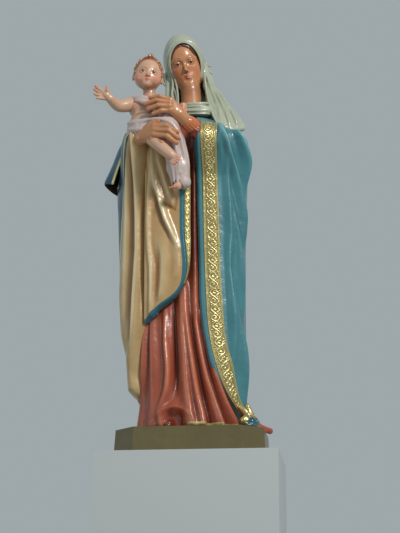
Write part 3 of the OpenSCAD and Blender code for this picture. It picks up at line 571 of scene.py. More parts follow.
def fold(x, z, path, width, height, start, end):
    """A soft fold of cloth along a path, faded over the first start and the last end of its length."""
    d, t = to_path(x, z, path)
    begin = step(-0.15, start, t) if start else 1
    finish = 1 - step(1 - end, 1.15, t) if end else 1
    return height * bell(d / width) * begin * finish


PANEL_LOW, PANEL_TOP = 352, 866
# Each fold is a path of (x, z), a width, a height, and how much of its start and end fades away.
PANEL_FOLDS = [
    ([(-114, 850), (-106, 765), (-110, 690), (-111, 620), (-108, 553), (-102, 500), (-101, 454),
      (-102, 365)], 5, 7, 0, 0),
    ([(-99, 850), (-96, 799), (-92, 741), (-78, 691), (-64, 637), (-46, 591), (-32, 552)], 7, 13, 0, 0.3),
    ([(-84, 850), (-79, 798), (-65, 740), (-51, 697), (-36, 665)], 6, 8, 0, 0.3),
    ([(-93, 712), (-86, 670), (-73, 630), (-57, 595), (-44, 560)], 5, -6, 0.2, 0.3),
    ([(-82, 700), (-64, 674), (-40, 660), (-33, 690)], 3.5, -5, 0.3, 0.2),
    ([(-40, 855), (-36, 800), (-30, 745), (-30, 700)], 7, 7, 0, 0.3),
    ([(-78, 600), (-66, 520), (-70, 450), (-82, 400)], 11, 6, 0.3, 0.2),
    ([(-33, 560), (-30, 500), (-33, 462)], 6, 4, 0.3, 0.3),
    ([(-88, 560), (-86, 480), (-90, 400)], 6, -5, 0.4, 0.2),
]
panel_edge = smooth_curve((352, -118), (370, -96), (385, -84), (400, -62), (418, -38), (436, -22),
                          (455, -12), (475, -6), (500, -3), (545, -6), (590, -10), (660, -11),
                          (730, -11), (866, -15))
panel_stand = smooth_curve((352, 25), (487, 35), (711, 41), (866, 47))
PANEL_RIM = [(float(panel_edge(z)), float(z)) for z in np.linspace(PANEL_LOW, PANEL_TOP, 60)]


def panel_off(x, z):
    off = panel_stand(z) - 6
    for path, width, height, start, end in PANEL_FOLDS:
        off = off + fold(x, z, path, width, height, start, end)
    return off


def build_panel():
    z = PANEL_LOW + (PANEL_TOP - PANEL_LOW) * spaced(330, 0.2)
    u = spaced(150, 0.55)
    uu, zz = np.meshgrid(u, z)
    low_x = -127.0
    x = low_x + (panel_edge(zz) - low_x) * uu
    rim, _ = to_path(x, zz, PANEL_RIM)
    left_gap = x - low_x
    off = panel_off(x, zz)
    depth = 18.0
    roll = rounded(np.minimum(rim, left_gap), 7)
    outer_off = off - depth * (1 - roll)
    a = angle_at(zz, x, panel_stand(zz) - 6)
    outer = outline(zz, a, outer_off)
    inner = outline(zz, a, off - depth - 1.0)
    width = 7.5 + 7.0 * step(430, 500, zz)
    blue = 1 - step(width - 0.8, width + 0.8, rim)
    patches = 0.25 * value_noise(outer.reshape(-1, 3), 90, 3).reshape(x.shape)
    # Orange-brown paint in random patches, and more of it where the cloth sinks back, as painted shade.
    tone = np.clip(0.5 - 0.09 * (off - panel_stand(zz) + 6) + patches, 0, 1)
    # Painted highlight on the fold ridges and painted shade in the hollows, kept off the blue edge.
    marks = {k: np.clip(1.3 * v, 0, 1) * (1 - blue) for k, v in tones(off, 22).items()}
    obj = slab("lining_front_panel", outer, inner, {"blue": blue, "gold_patches_and_shade": tone * (1 - blue), **marks})
    obj.data.materials.append(lining_paint)
    return obj


cream_edge = smooth_curve((140, -196), (430, -199), (480, -198), (510, -195), (566, -189), (641, -184),
                          (749, -173), (822, -167), (895, -160))
fall_edge = smooth_curve((138, -142), (166, -141), (230, -147), (289, -144), (350, -131), (500, -129),
                         (740, -131), (840, -134), (902, -146))
FALL_LOW, FALL_TOP = 139, 902
FALL_FOLDS = [
    ([(-151, 870), (-145, 741), (-142, 633), (-141, 559), (-144, 503), (-148, 424), (-150, 340),
      (-154, 260), (-150, 180)], 6.5, 11, 0, 0),
    ([(-160, 870), (-157, 741), (-157, 633), (-158, 540), (-163, 430), (-166, 340),
      (-166, 270)], 6, -5, 0, 0.3),
    ([(-168, 860), (-172, 760), (-176, 640), (-180, 520), (-180, 430), (-174, 330), (-162, 240),
      (-150, 170)], 7, 8, 0.1, 0),
    ([(-190, 520), (-190, 440), (-184, 350), (-172, 280)], 5, 5, 0.3, 0.3),
]


fall_out = smooth_curve((139, -142), (160, -150), (214, -161), (293, -182), (372, -194), (436, -199),
                        (516, -203), (569, -205), (612, -207), (666, -209), (721, -212), (800, -206),
                        (850, -196), (905, -178))


def build_fall():
    z = FALL_LOW + (FALL_TOP - FALL_LOW) * spaced(400, 0.1)
    u = spaced(120, 0.45)
    uu, zz = np.meshgrid(u, z)
    base = -8.0 - left(zz) - fall_out(zz)
    a0 = angle_at(zz, fall_edge(zz), base)
    a1 = np.full_like(zz, -100.0)
    a = a0 + (a1 - a0) * uu
    flat = outline(zz, a, base)
    x = flat[..., 0]
    off = base - 2
    for path, width, height, start, end in FALL_FOLDS:
        off = off + fold(x, zz, path, width, height, start, end) * (a > -95)
    near = np.radians(a0 - a) * 120
    far = np.radians(a - a1) * 120
    low_edge = zz - FALL_LOW
    roll = rounded(near, 7) * rounded(far, 5) * (0.3 + 0.7 * rounded(low_edge, 10))
    outer = outline(zz, a, (off + 4) * roll - 2)
    inner = outline(zz, a, np.full_like(off, -6.0))
    over_arm = step(-208, -186, x) * (62 * bell((zz - 872) / 78)) * (1 - 0.4 * step(880, 902, zz))
    outer[..., 1] -= over_arm
    inner[..., 1] -= np.clip(over_arm - 3, 0, None) * 0.9
    side = cream_edge(zz) - x
    up = step(470, 520, zz)
    blue = step(-0.8, 0.8, side) * np.maximum(up, a < -88)
    gilt = bell((side - 7) / 1.8) * up * 1.4
    patches = 0.25 * value_noise(outer.reshape(-1, 3), 80, 5).reshape(x.shape)
    # Orange-brown paint in random patches, and more of it where the cloth sinks back, as painted shade.
    tone = np.clip(0.45 - 0.07 * (off - base + 2) + patches, 0, 1)
    # Painted highlight on the fold ridges and painted shade in the hollows, kept off the blue edge.
    marks = {k: np.clip(1.3 * v, 0, 1) * (1 - blue) for k, v in tones(off, 20).items()}
    marks |= {"blue": blue, "gilt": np.clip(gilt, 0, 1), "gold_patches_and_shade": tone * (1 - blue)}
    obj = slab("lining_side_fall", outer, inner, marks)
    obj.data.materials.append(fall_paint)
    return obj


def build_panel_band():
    period, width = 34.0, 22.0
    low, top = 452, 790
    field = scroll_relief(period, width)
    z = np.linspace(low, top, 520)
    size = 3 + 13 * step(low, 600, z)
    t = np.linspace(0, 1, 30)
    tt, zz = np.meshgrid(t, z)
    wide = np.repeat(size[:, None], len(t), 1)
    x = panel_edge(zz) - 1.5 + wide * tt
    off = panel_stand(zz) - 12 - 5 * tt
    a = angle_at(zz, x, panel_stand(zz) - 10)
    from_edge = np.minimum(tt, 1 - tt) * wide
    rail = bell((from_edge - 1.3) / 0.7)
    height = np.maximum(rail, relief_at(field, period, width, zz, tt * width) * step(2.2, 3.2, from_edge))
    roll = rounded(from_edge + 0.4, 2.2) * rounded(np.minimum(zz - low, top - zz) + 0.3, 4)
    outer = outline(zz, a, off + (1.0 + 1.8 * height) * roll)
    inner = outline(zz, a, off - 9)
    obj = slab("panel_gilt_band", outer, inner, {"low": 1 - height})
    obj.data.materials.append(gold_paint)
    return obj


def flip_if_needed(obj):
    """Turns a closed mesh inside out if its faces look inwards."""
    mesh = obj.data
    co = np.empty(len(mesh.vertices) * 3)
    mesh.vertices.foreach_get("co", co)
    co = co.reshape(-1, 3)
    mesh.calc_loop_triangles()
    tri = np.empty(len(mesh.loop_triangles) * 3, int)
    mesh.loop_triangles.foreach_get("vertices", tri)
    a, b, c = co[tri.reshape(-1, 3)].transpose(1, 0, 2)
    if np.einsum("ij,ij->i", a, np.cross(b, c)).sum() < 0:
        mesh.flip_normals()


def ribbon(name, rails, gilt, shaded_inside, cols=60, rows=90, thick=7):
    """A curved blue sheet through rails, each a list of points down the sheet. gilt is the place, width and
    strength of a gilt line, and the fourth argument is 1 for a sheet whose inside face is painted dark brown
    as painted shade."""
    v = np.linspace(0, 1, rows)
    lines = []
    for rail in rails:
        pts = np.array(rail, float)
        k = np.linspace(0, 1, len(pts))
        lines.append(np.stack([smooth_curve(*zip(k, pts[:, i]))(v) for i in range(3)], -1))
    lines = np.array(lines)
    k = np.linspace(0, 1, len(rails))
    u = spaced(cols, 0.5)
    grid = np.empty((rows, cols, 3))
    for r in range(rows):
        for i in range(3):
            grid[r, :, i] = smooth_curve(*zip(k, lines[:, r, i]))(u)
    normal = np.cross(np.gradient(grid, axis=1), np.gradient(grid, axis=0))
    normal /= np.maximum(np.linalg.norm(normal, axis=2, keepdims=True), 1e-9)
    uu, vv = np.meshgrid(u, v)
    roll = rounded(np.minimum(uu, 1 - uu) * 12, 1) * rounded(np.minimum(vv, 1 - vv) * 16, 1)
    outer = grid + normal * (thick / 2 * roll)[..., None]
    inner = grid - normal * (thick / 2 * roll)[..., None]
    place, width, strength = gilt
    marks = {"gilt": np.clip(strength * bell((uu - place) / width), 0, 1), "lining": np.zeros_like(uu)}
    obj = slab(name, outer, inner, marks, {"lining": np.full_like(uu, shaded_inside)})
    obj.data.materials.append(mantle_edge_paint)
    flip_if_needed(obj)
    return obj


def build_sleeve_fold():
    front = [(-158, -98, 896), (-176, -68, 864), (-198, -58, 812), (-217, -50, 756)]
    outside = [(-156, -62, 914), (-198, -34, 874), (-224, -26, 814), (-246, -26, 764)]
    behind = [(-138, 0, 918), (-188, 8, 872), (-214, 10, 808), (-232, 6, 752)]
    rear = [(-120, 40, 905), (-165, 46, 854), (-190, 44, 798), (-206, 38, 742)]
    return ribbon("sleeve_fold_outer", [front, outside, behind, rear], (0.03, 0.02, 1.5), 1)


def build_inner_leaf():
    """The second layer behind the corner: a dark hollow, then a leaf with its own gilt edge."""
    front = [(-168, -78, 876), (-180, -48, 846), (-192, -38, 800), (-206, -30, 750)]
    middle = [(-160, -46, 882), (-186, -26, 846), (-198, -16, 800), (-212, -10, 744)]
    rear = [(-146, -10, 884), (-180, 2, 848), (-200, 8, 798), (-208, 14, 740)]
    return ribbon("sleeve_fold_inner", [front, middle, rear], (0.09, 0.06, 1.6), 0, cols=40, rows=70)


# ---------------------------------------------------------------- modelling clay
class Clay:
    """A block of distances to a surface, built up from simple shapes with soft joints."""

    def __init__(self, low, high, h):
        self.low, self.h = np.array(low, float), h
        count = np.ceil((np.array(high, float) - self.low) / h).astype(int) + 1
        self.axis = [self.low[i] + h * np.arange(count[i]) for i in range(3)]
        self.d = np.full(count, 20.0, np.float32)

    def _part(self, low, high):
        cut, grids = [], []
        for i in range(3):
            a = int(np.clip(np.floor((low[i] - self.low[i]) / self.h), 0, len(self.axis[i])))
            b = int(np.clip(np.ceil((high[i] - self.low[i]) / self.h) + 1, 0, len(self.axis[i])))
            cut.append(slice(a, b))
            grids.append(self.axis[i][a:b])
        x, y, z = np.meshgrid(*grids, indexing="ij", sparse=True)
        return tuple(cut), x, y, z

    def add(self, shape, blend=0.0, take=False):
        distance, low, high = shape
        pad = blend + 3 * self.h
        cut, x, y, z = self._part(low - pad, high + pad)
        old = self.d[cut]
        if old.size == 0:
            return self
        new = distance(x, y, z)
        if take:
            old = -old
        if blend:
            h = np.clip(blend - np.abs(old - new), 0, None) / blend
            mixed = np.minimum(old, new) - h * h * blend / 4
        else:
            mixed = np.minimum(old, new)
        self.d[cut] = -mixed if take else mixed
        return self

    def cut(self, shape, blend=0.0):
        return self.add(shape, blend, take=True)

    def wrinkle(self, change):
        x, y, z = np.meshgrid(*self.axis, indexing="ij", sparse=True)
        self.d = (self.d + change(x, y, z)).astype(np.float32)
        return self

    def mesh(self, name, material, matrix=None, colours=None):
        d = self.d
        for i in range(3):
            d = d.copy()
            low = [slice(None)] * 3
            mid = [slice(None)] * 3
            top = [slice(None)] * 3
            low[i], mid[i], top[i] = slice(0, -2), slice(1, -1), slice(2, None)
            d[tuple(mid)] = 0.2 * d[tuple(low)] + 0.6 * d[tuple(mid)] + 0.2 * d[tuple(top)]
        volume = openvdb.FloatGrid(20.0)
        volume.copyFromArray(np.ascontiguousarray(np.clip(d, -20, 20), np.float32))
        points, quads = volume.convertToQuads(isovalue=0.0)
        points = points.astype(float) * self.h + self.low
        extra = colours(points) if colours else None
        if matrix is not None:
            m = np.array(matrix)
            points = points @ m[:3, :3].T + m[:3, 3]
        obj = add_mesh(name, points, np.asarray(quads, int), extra)
        flip_if_needed(obj)
        obj.data.materials.append(material)
        return obj


def ball(centre, r):
    """A sphere, or with three radii an ellipsoid: its distance function and the corners of its box."""
    c = np.array(centre, float)
    if np.isscalar(r):
        def from_skin(x, y, z):
            return np.sqrt((x - c[0]) ** 2 + (y - c[1]) ** 2 + (z - c[2]) ** 2) - r

        return from_skin, c - r, c + r
    r = np.array(r, float)

    def distance(x, y, z):
        px, py, pz = (x - c[0]) / r[0], (y - c[1]) / r[1], (z - c[2]) / r[2]
        k0 = np.sqrt(px * px + py * py + pz * pz)
        k1 = np.sqrt((px / r[0]) ** 2 + (py / r[1]) ** 2 + (pz / r[2]) ** 2) + 1e-9
        return k0 * (k0 - 1) / k1

    return distance, c - r, c + r


def limb(*points):
    """A chain of tapering rounded rods through (x, y, z, radius) points."""
    p = np.array(points, float)

    def distance(x, y, z):
        best = None
        for a, b in zip(p, p[1:]):
            ab = b[:3] - a[:3]
            t = np.clip(((x - a[0]) * ab[0] + (y - a[1]) * ab[1] + (z - a[2]) * ab[2]) / (ab @ ab), 0, 1)
            d = np.sqrt((x - a[0] - t * ab[0]) ** 2 + (y - a[1] - t * ab[1]) ** 2
                        + (z - a[2] - t * ab[2]) ** 2)
            d = d - (a[3] + t * (b[3] - a[3]))
            best = d if best is None else np.minimum(best, d)
        return best

    r = p[:, 3:4]
    return distance, (p[:, :3] - r).min(0), (p[:, :3] + r).max(0)


def curve_limb(*points, count=14):
    """A limb bent smoothly through its points."""
    p = np.array(points, float)
    k = np.linspace(0, 1, len(p))
    t = np.linspace(0, 1, count)
    return limb(*np.stack([smooth_curve(*zip(k, p[:, i]))(t) for i in range(4)], -1))


def web(a, b, c):
    """A rounded triangular sheet between three (x, y, z, radius) corners."""
    a, b, c = (np.array(v, float) for v in (a, b, c))
    u, v = b[:3] - a[:3], c[:3] - a[:3]
    n = np.cross(u, v)
    n = n / np.linalg.norm(n)
    uu, vv, uv = u @ u, v @ v, u @ v
    span = uu * vv - uv * uv
    edges = [limb(a, b), limb(b, c), limb(c, a)]

    def distance(x, y, z):
        wx, wy, wz = x - a[0], y - a[1], z - a[2]
        wu = wx * u[0] + wy * u[1] + wz * u[2]
        wv = wx * v[0] + wy * v[1] + wz * v[2]
        s = (wu * vv - wv * uv) / span
        t = (wv * uu - wu * uv) / span
        face = np.abs(wx * n[0] + wy * n[1] + wz * n[2]) - (a[3] + s * (b[3] - a[3]) + t * (c[3] - a[3]))
        inside = (s >= 0) & (t >= 0) & (s + t <= 1)
        rim = np.minimum(np.minimum(edges[0][0](x, y, z), edges[1][0](x, y, z)), edges[2][0](x, y, z))
        return np.where(inside, np.minimum(face, rim), rim)

    p = np.array([a, b, c])
    return distance, (p[:, :3] - p[:, 3:4]).min(0), (p[:, :3] + p[:, 3:4]).max(0)


def turned(shape, matrix):
    """A shape given in a local frame, put in place by matrix."""
    distance, low, high = shape
    m = np.array(matrix)
    back = np.linalg.inv(m)
    corners = np.array(list(product(*zip(low, high))))
    corners = corners @ m[:3, :3].T + m[:3, 3]

    def moved(x, y, z):
        return distance(back[0, 0] * x + back[0, 1] * y + back[0, 2] * z + back[0, 3],
                        back[1, 0] * x + back[1, 1] * y + back[1, 2] * z + back[1, 3],
                        back[2, 0] * x + back[2, 1] * y + back[2, 2] * z + back[2, 3])

    return moved, corners.min(0), corners.max(0)


def pose(centre, rx, ry, rz):
    """A place and a turn in degrees about X, then Y, then Z."""
    return (Matrix.Translation(centre) @ Matrix.Rotation(math.radians(rz), 4, "Z")
            @ Matrix.Rotation(math.radians(ry), 4, "Y") @ Matrix.Rotation(math.radians(rx), 4, "X"))


def local(matrix, *points):
    """World (x, y, z, radius) points in a head's own frame."""
    back = matrix.inverted()
    return [(*(back @ Vector(p[:3])), p[3]) for p in points]


HEAD = pose((-26, -6, 1123), 15, -12, 3)
CHILD = pose((-113, -118, 1047), 0, 7, 10) @ Matrix.Scale(0.95, 4)

flesh_paint = paint("mother flesh enamel", FLESH, srgb(160, 98, 62), rough=0.34, coat=0.45, wear=0.3,
                    uneven=60.0, dents=0.0008, masks=[
    ("blush", 0, 1, srgb(205, 112, 82), 0.34, 0), ("shade", 0, 1, srgb(120, 66, 42), 0.4, 0),
    ("lips", 0.35, 0.75, srgb(178, 84, 72), 0.3, 0), ("brow", 0.3, 0.8, srgb(92, 58, 40), 0.4, 0)])
child_flesh_paint = paint("child flesh enamel", CHILD_FLESH, srgb(186, 132, 100), rough=0.36, coat=0.4,
                          wear=0.3, uneven=60.0, dents=0.0008, masks=[
    ("blush", 0, 1, srgb(222, 124, 98), 0.2, 0), ("shade", 0, 1, srgb(140, 84, 58), 0.3, 0),
    ("lips", 0.35, 0.85, srgb(196, 104, 88), 0.3, 0), ("brow", 0.3, 0.8, srgb(144, 98, 66), 0.4, 0)])
veil_paint = paint("veil enamel", VEIL, srgb(128, 132, 104), rough=0.32, coat=0.4, wear=0.5)
gown_paint = paint("gown enamel", GOWN, srgb(176, 148, 140), rough=0.32, coat=0.4, wear=0.45, masks=[
    ("line", 0, 1, srgb(150, 110, 100), 0.4, 0)])
hair_paint = paint("mother hair enamel", srgb(98, 56, 32), srgb(44, 24, 14), rough=0.34, coat=0.4, wear=0.7)
child_hair_paint = paint("child hair enamel", CHILD_HAIR, srgb(118, 68, 38), rough=0.34, coat=0.4, wear=0.7)
cuff_paint = paint("cuff enamel", srgb(206, 118, 66), srgb(150, 70, 36), rough=0.24, coat=0.7, wear=0.4)
eye_paint = paint("glass eye", srgb(226, 220, 206), srgb(200, 190, 170), rough=0.06, coat=1.0, wear=0.2,
                  bump=0.0, masks=[
    ("iris", 0.4, 0.6, srgb(84, 56, 34), 0.06, 0), ("rim", 0.4, 0.9, srgb(30, 20, 14), 0.06, 0),
    ("pupil", 0.4, 0.6, srgb(8, 6, 6), 0.05, 0)])


# ---------------------------------------------------------------- heads
MOTHER_EYE = (19, -39.4, -0.5)
CHILD_EYE = (16, -36.6, -5)


def face_colours(lips, brow, cheeks, hollows, lids):
    """Painted lips, brows and lashes, blushing cheeks and shaded hollows of a face that looks along -Y."""
    def colours(p):
        x, y, z = p.T
        front_side = 1 - step(-38, -25, y)
        lip = np.full(len(p), 99.0)
        for shape in lips:
            lip = np.minimum(lip, shape[0](x, y, z))
        d, t = to_path(np.abs(x), z, brow)
        brows = 0.8 * (1 - step(0.4, 1.1, d / (1.5 - 0.8 * t)))
        blush = sum(bell(np.linalg.norm(p - np.array(c), axis=1) / r) for c, r in cheeks)
        shade = sum(bell(np.linalg.norm((p - np.array(c)) / np.array(r), axis=1)) * 0.5 for c, r in hollows)
        rim, _ = to_path(np.abs(x), z, lids)
        lash = (1 - step(0.4, 1.3, rim)) * 0.9
        return {"lips": (1 - step(0.2, 1.1, lip)) * front_side, "brow": np.maximum(brows, lash) * front_side,
                "blush": np.clip(blush, 0, 1) * 0.6, "shade": np.clip(shade, 0, 1)}
    return colours


def eyes(name, eye, r, gaze, iris, pupil, matrix):
    """Two glass eyes of radius r at eye and its mirror image, with painted iris and pupil of those radii."""
    verts, faces, marks = [], [], {"iris": [], "rim": [], "pupil": []}
    rows, cols = 48, 64
    look = np.array(gaze) / np.linalg.norm(gaze)
    side = np.cross(look, (0, 0, 1))
    side /= np.linalg.norm(side)
    up = np.cross(side, look)
    m = np.array(matrix)
    for s in (-1, 1):
        centre = (s * eye[0], *eye[1:])
        start = len(verts)
        for j in range(1, rows):
            polar = math.pi * (j / rows) ** 1.25
            bulge = r * (1 + 0.035 * math.exp(-(polar * r / iris) ** 2))
            for i in range(cols):
                turn = 2 * math.pi * i / cols
                d = look * math.cos(polar) + (side * math.cos(turn) + up * math.sin(turn)) * math.sin(polar)
                q = m[:3, :3] @ (np.array(centre) + d * bulge) + m[:3, 3]
                verts.append(q)
                reach = polar * r
                marks["iris"].append(1 - float(step(iris - 0.15, iris + 0.15, reach)))
                marks["rim"].append(float(bell((reach - iris) / 0.45)))
                marks["pupil"].append(1 - float(step(pupil - 0.15, pupil + 0.15, reach)))
        faces += [list(map(int, f)) for f in grid_faces(rows - 1, cols, wrap=True, start=start)]
        for pole, ring in ((0, 0), (math.pi, rows - 2)):
            reach = r * math.cos(pole) * (1.0 if pole else 1.03)
            verts.append(m[:3, :3] @ (np.array(centre) + look * reach) + m[:3, 3])
            for key in marks:
                marks[key].append(1.0 if pole == 0 and key != "rim" else 0.0)
            tip = len(verts) - 1
            base = start + ring * cols
            for i in range(cols):
                a, b = base + i, base + (i + 1) % cols
                faces.append([tip, a, b] if pole else [tip, b, a])
    obj = add_mesh(name, verts, faces, marks)
    flip_if_needed(obj)
    obj.data.materials.append(eye_paint)
    return obj


def build_mother_eyes():
    return eyes("mother_eyes", MOTHER_EYE, 9.1, (0, -1, -0.26), 4.6, 1.9, HEAD)


def build_child_eyes():
    return eyes("child_eyes", CHILD_EYE, 7.5, (0, -1, 0.02), 4.1, 1.8, CHILD)


def build_mother_head():
    c = Clay((-62, -74, -190), (66, 84, 82), 0.8)
    c.add(ball((0, 12, 20), (48, 61, 56)))
    c.add(ball((0, -8, -18), (40, 38, 50)), 22)
    for s in (1, -1):
        c.add(limb((s * 39, 6, -27, 12), (s * 27, -18, -49, 12), (s * 8, -33, -60, 11.5)), 18)
        c.add(ball((s * 22, -26, -20), (14, 13, 17)), 16)
    c.add(ball((0, -35, -41), (19, 12, 14)), 14)
    c.add(ball((0, -37, -63), (12, 9.5, 9.5)), 12)
    for s in (1, -1):
        c.cut(ball((s * 19, -55, -1), (14, 9.5, 8.5)), 9)
        c.add(limb((s * 31, -33, 8, 4), (s * 19, -42, 12, 4.5), (s * 8, -44.5, 8, 4)), 9)
    c.add(limb((0, -44.5, 8, 3.4), (0, -49.6, -6, 3.2), (0, -54.5, -18.5, 4.0)), 6)
    c.add(ball((0, -56.5, -22.5), (4.6, 4.8, 4.2)), 4)
    for s in (1, -1):
        c.add(ball((s * 5.2, -52.2, -26.2), (3.1, 4.2, 3.3)), 2.6)
        c.cut(ball((s * 2.8, -55, -29.4), (1.3, 2.2, 1.8)), 1.4)
    c.cut(limb((0, -51.5, -33, 0.9), (0, -50.5, -37, 1.0)), 2.5)
    upper = [curve_limb((s * 12.4, -43.0, -40.4, 0.9), (s * 6.4, -47.4, -39.7, 1.9),
                        (s * 2, -49.4, -39.0, 2.1),
                        (0, -49.2, -39.8, 1.9)) for s in (1, -1)]
    lower = [curve_limb((s * 11.2, -43.4, -41.6, 1.0), (s * 5.4, -47.4, -43.7, 2.2), (0, -48.8, -44.4, 2.7))
             for s in (1, -1)]
    for shape in upper + lower:
        c.add(shape, 2.0)
    for s in (1, -1):
        c.cut(curve_limb((s * 13.6, -43.4, -40.2, 0.5), (s * 6.4, -49.4, -41.6, 0.7),
                         (0, -51.8, -41.5, 0.7)), 1.4)
    c.cut(ball((0, -50.5, -51.5), (9, 4.5, 2.8)), 5)
    for s in (1, -1):
        c.add(ball((s * MOTHER_EYE[0], *MOTHER_EYE[1:]), 10.3), 2.8)
        c.cut(curve_limb((s * 9.5, -47.5, 3.5, 0.6), (s * 19, -50.8, 6.6, 0.8),
                         (s * 28.5, -45, 3.2, 0.6)), 2.4)
        c.cut(ball((s * 19, -51.5, -3.2), (9.2, 7, 2.9)), 1.3)
    neck = local(HEAD, (-4, -18, 944, 34), (-4, -15, 972, 31), (-5, -11, 1010, 29), (-9, -5, 1050, 29),
                 (-18, 10, 1090, 30))
    c.add(curve_limb(*neck), 9)
    lips = upper + lower
    lids = [(10.2, -3.6), (13, -1.4), (19, -0.5), (25, -1.5), (28.2, -3.8)]
    colours = face_colours(lips, [(9, 11.8), (15, 15.0), (22, 15.6), (30, 11.6)],
                           [((25, -32, -22), 14), ((-25, -32, -22), 14)],
                           [((19, -48, 4), (10, 9, 4)), ((-19, -48, 4), (10, 9, 4)),
                            ((0, -40, -84), (34, 26, 12))], lids)
    return c.mesh("mother_face", flesh_paint, HEAD, colours)


def build_child_head():
    c = Clay((-50, -62, -92), (50, 60, 58), 0.75)
    c.add(ball((0, 4, 8), (41, 47, 43)))
    c.add(ball((0, -9, -16), (38, 35, 31)), 14)
    for s in (1, -1):
        c.add(ball((s * 19, -23, -21), (15, 13, 14)), 10)
    c.add(ball((0, -31, -28), (15, 11, 10)), 9)
    c.add(ball((0, -32, -41), (12, 10, 8.5)), 8)
    for s in (1, -1):
        c.cut(ball((s * 16, -50, -5), (10.5, 7, 6.5)), 7)
        c.add(ball((s * 42, 3, -10), (4, 8, 11)), 3)
        c.cut(ball((s * 46, -1, -9), (3, 4.5, 7)), 2)
    c.add(limb((0, -41, 0, 2.6), (0, -44.5, -10, 3.2), (0, -47.5, -16, 3.8)), 5)
    c.add(ball((0, -48.5, -17.5), (4.4, 4.2, 3.8)), 3)
    for s in (1, -1):
        c.add(ball((s * 4.4, -45, -18.6), (2.8, 3.6, 2.8)), 2.5)
        c.cut(ball((s * 2.4, -47.5, -21.4), (1.2, 2, 1.5)), 1.2)
    upper = [curve_limb((s * 9.8, -37.6, -28.6, 0.8), (s * 5, -41.0, -28.2, 1.6),
                        (s * 1.8, -42.2, -27.6, 1.8),
                        (0, -42.2, -28.2, 1.6)) for s in (1, -1)]
    lower = [curve_limb((s * 8.8, -38.0, -29.6, 0.9), (s * 4, -41.0, -31.6, 1.9), (0, -41.8, -32.0, 2.1))
             for s in (1, -1)]
    for shape in upper + lower:
        c.add(shape, 1.8)
    for s in (1, -1):
        c.cut(curve_limb((s * 10.8, -38.0, -28.4, 0.5), (s * 4.6, -42.8, -29.9, 0.7),
                         (0, -44.2, -29.8, 0.7)), 1.4)
        c.add(ball((s * CHILD_EYE[0], *CHILD_EYE[1:]), 8.6), 2.2)
        c.cut(curve_limb((s * 8.5, -43.5, -0.5, 0.6), (s * 16, -46, 2.4, 0.7), (s * 23.5, -41, -0.6, 0.6)), 2)
        c.cut(ball((s * 16, -46.5, -5.6), (7.4, 6, 3.7)), 1.2)
    c.add(curve_limb(*local(CHILD, (-110, -114, 974, 20), (-110, -113, 992, 18), (-110, -112, 1012, 18))), 7)
    colours = face_colours(upper + lower, [(8, 5.5), (13, 8.2), (19, 8.0), (25, 5.0)],
                           [((22, -30, -22), 12), ((-22, -30, -22), 12), ((0, -48, -18), 5)],
                           [((16, -45, 2), (8, 8, 3)), ((-16, -45, 2), (8, 8, 3)),
                            ((0, -20, -52), (28, 22, 9))],
                           [(8.6, -5.2), (11.5, -2.0), (16, -1.0), (20.5, -2.0), (23.6, -5.4)])
    return c.mesh("child_face", child_flesh_paint, CHILD, colours)


def build_mother_hair():
    c = Clay((-60, -60, -140), (62, 82, 84), 1.0)
    c.add(ball((0, 12, 19), (51, 65, 60)))
    for s in (-1, 1):
        c.add(curve_limb((s * 44, -8, -4, 9), (s * 42, 2, -40, 9), (s * 34 + 6, 10, -84, 10),
                         (s * 34 + 12, 12, -120, 9)), 8)

    def strands(x, y, z):
        ring = np.hypot((x - 3) / 42, (z + 14) / 64)
        crown = 0.9 * np.sin(66 * ring + 1.5 * np.sin(z / 8)) * step(-30, -10, z)
        locks = 0.9 * np.sin(1.5 * x + 1.1 * y + 1.3 * np.sin(z / 13)) * (1 - step(-30, -10, z))
        return crown + locks + 2.2 * bell((x - 2) / 1.6) * step(20, 40, z)

    c.wrinkle(strands)
    c.cut(ball((0, -60, -22), (43, 53, 72)), 4)
    c.cut(limb((4, -40, -60, 30), (8, -34, -140, 30)), 3)
    return c.mesh("mother_hair", hair_paint, HEAD)


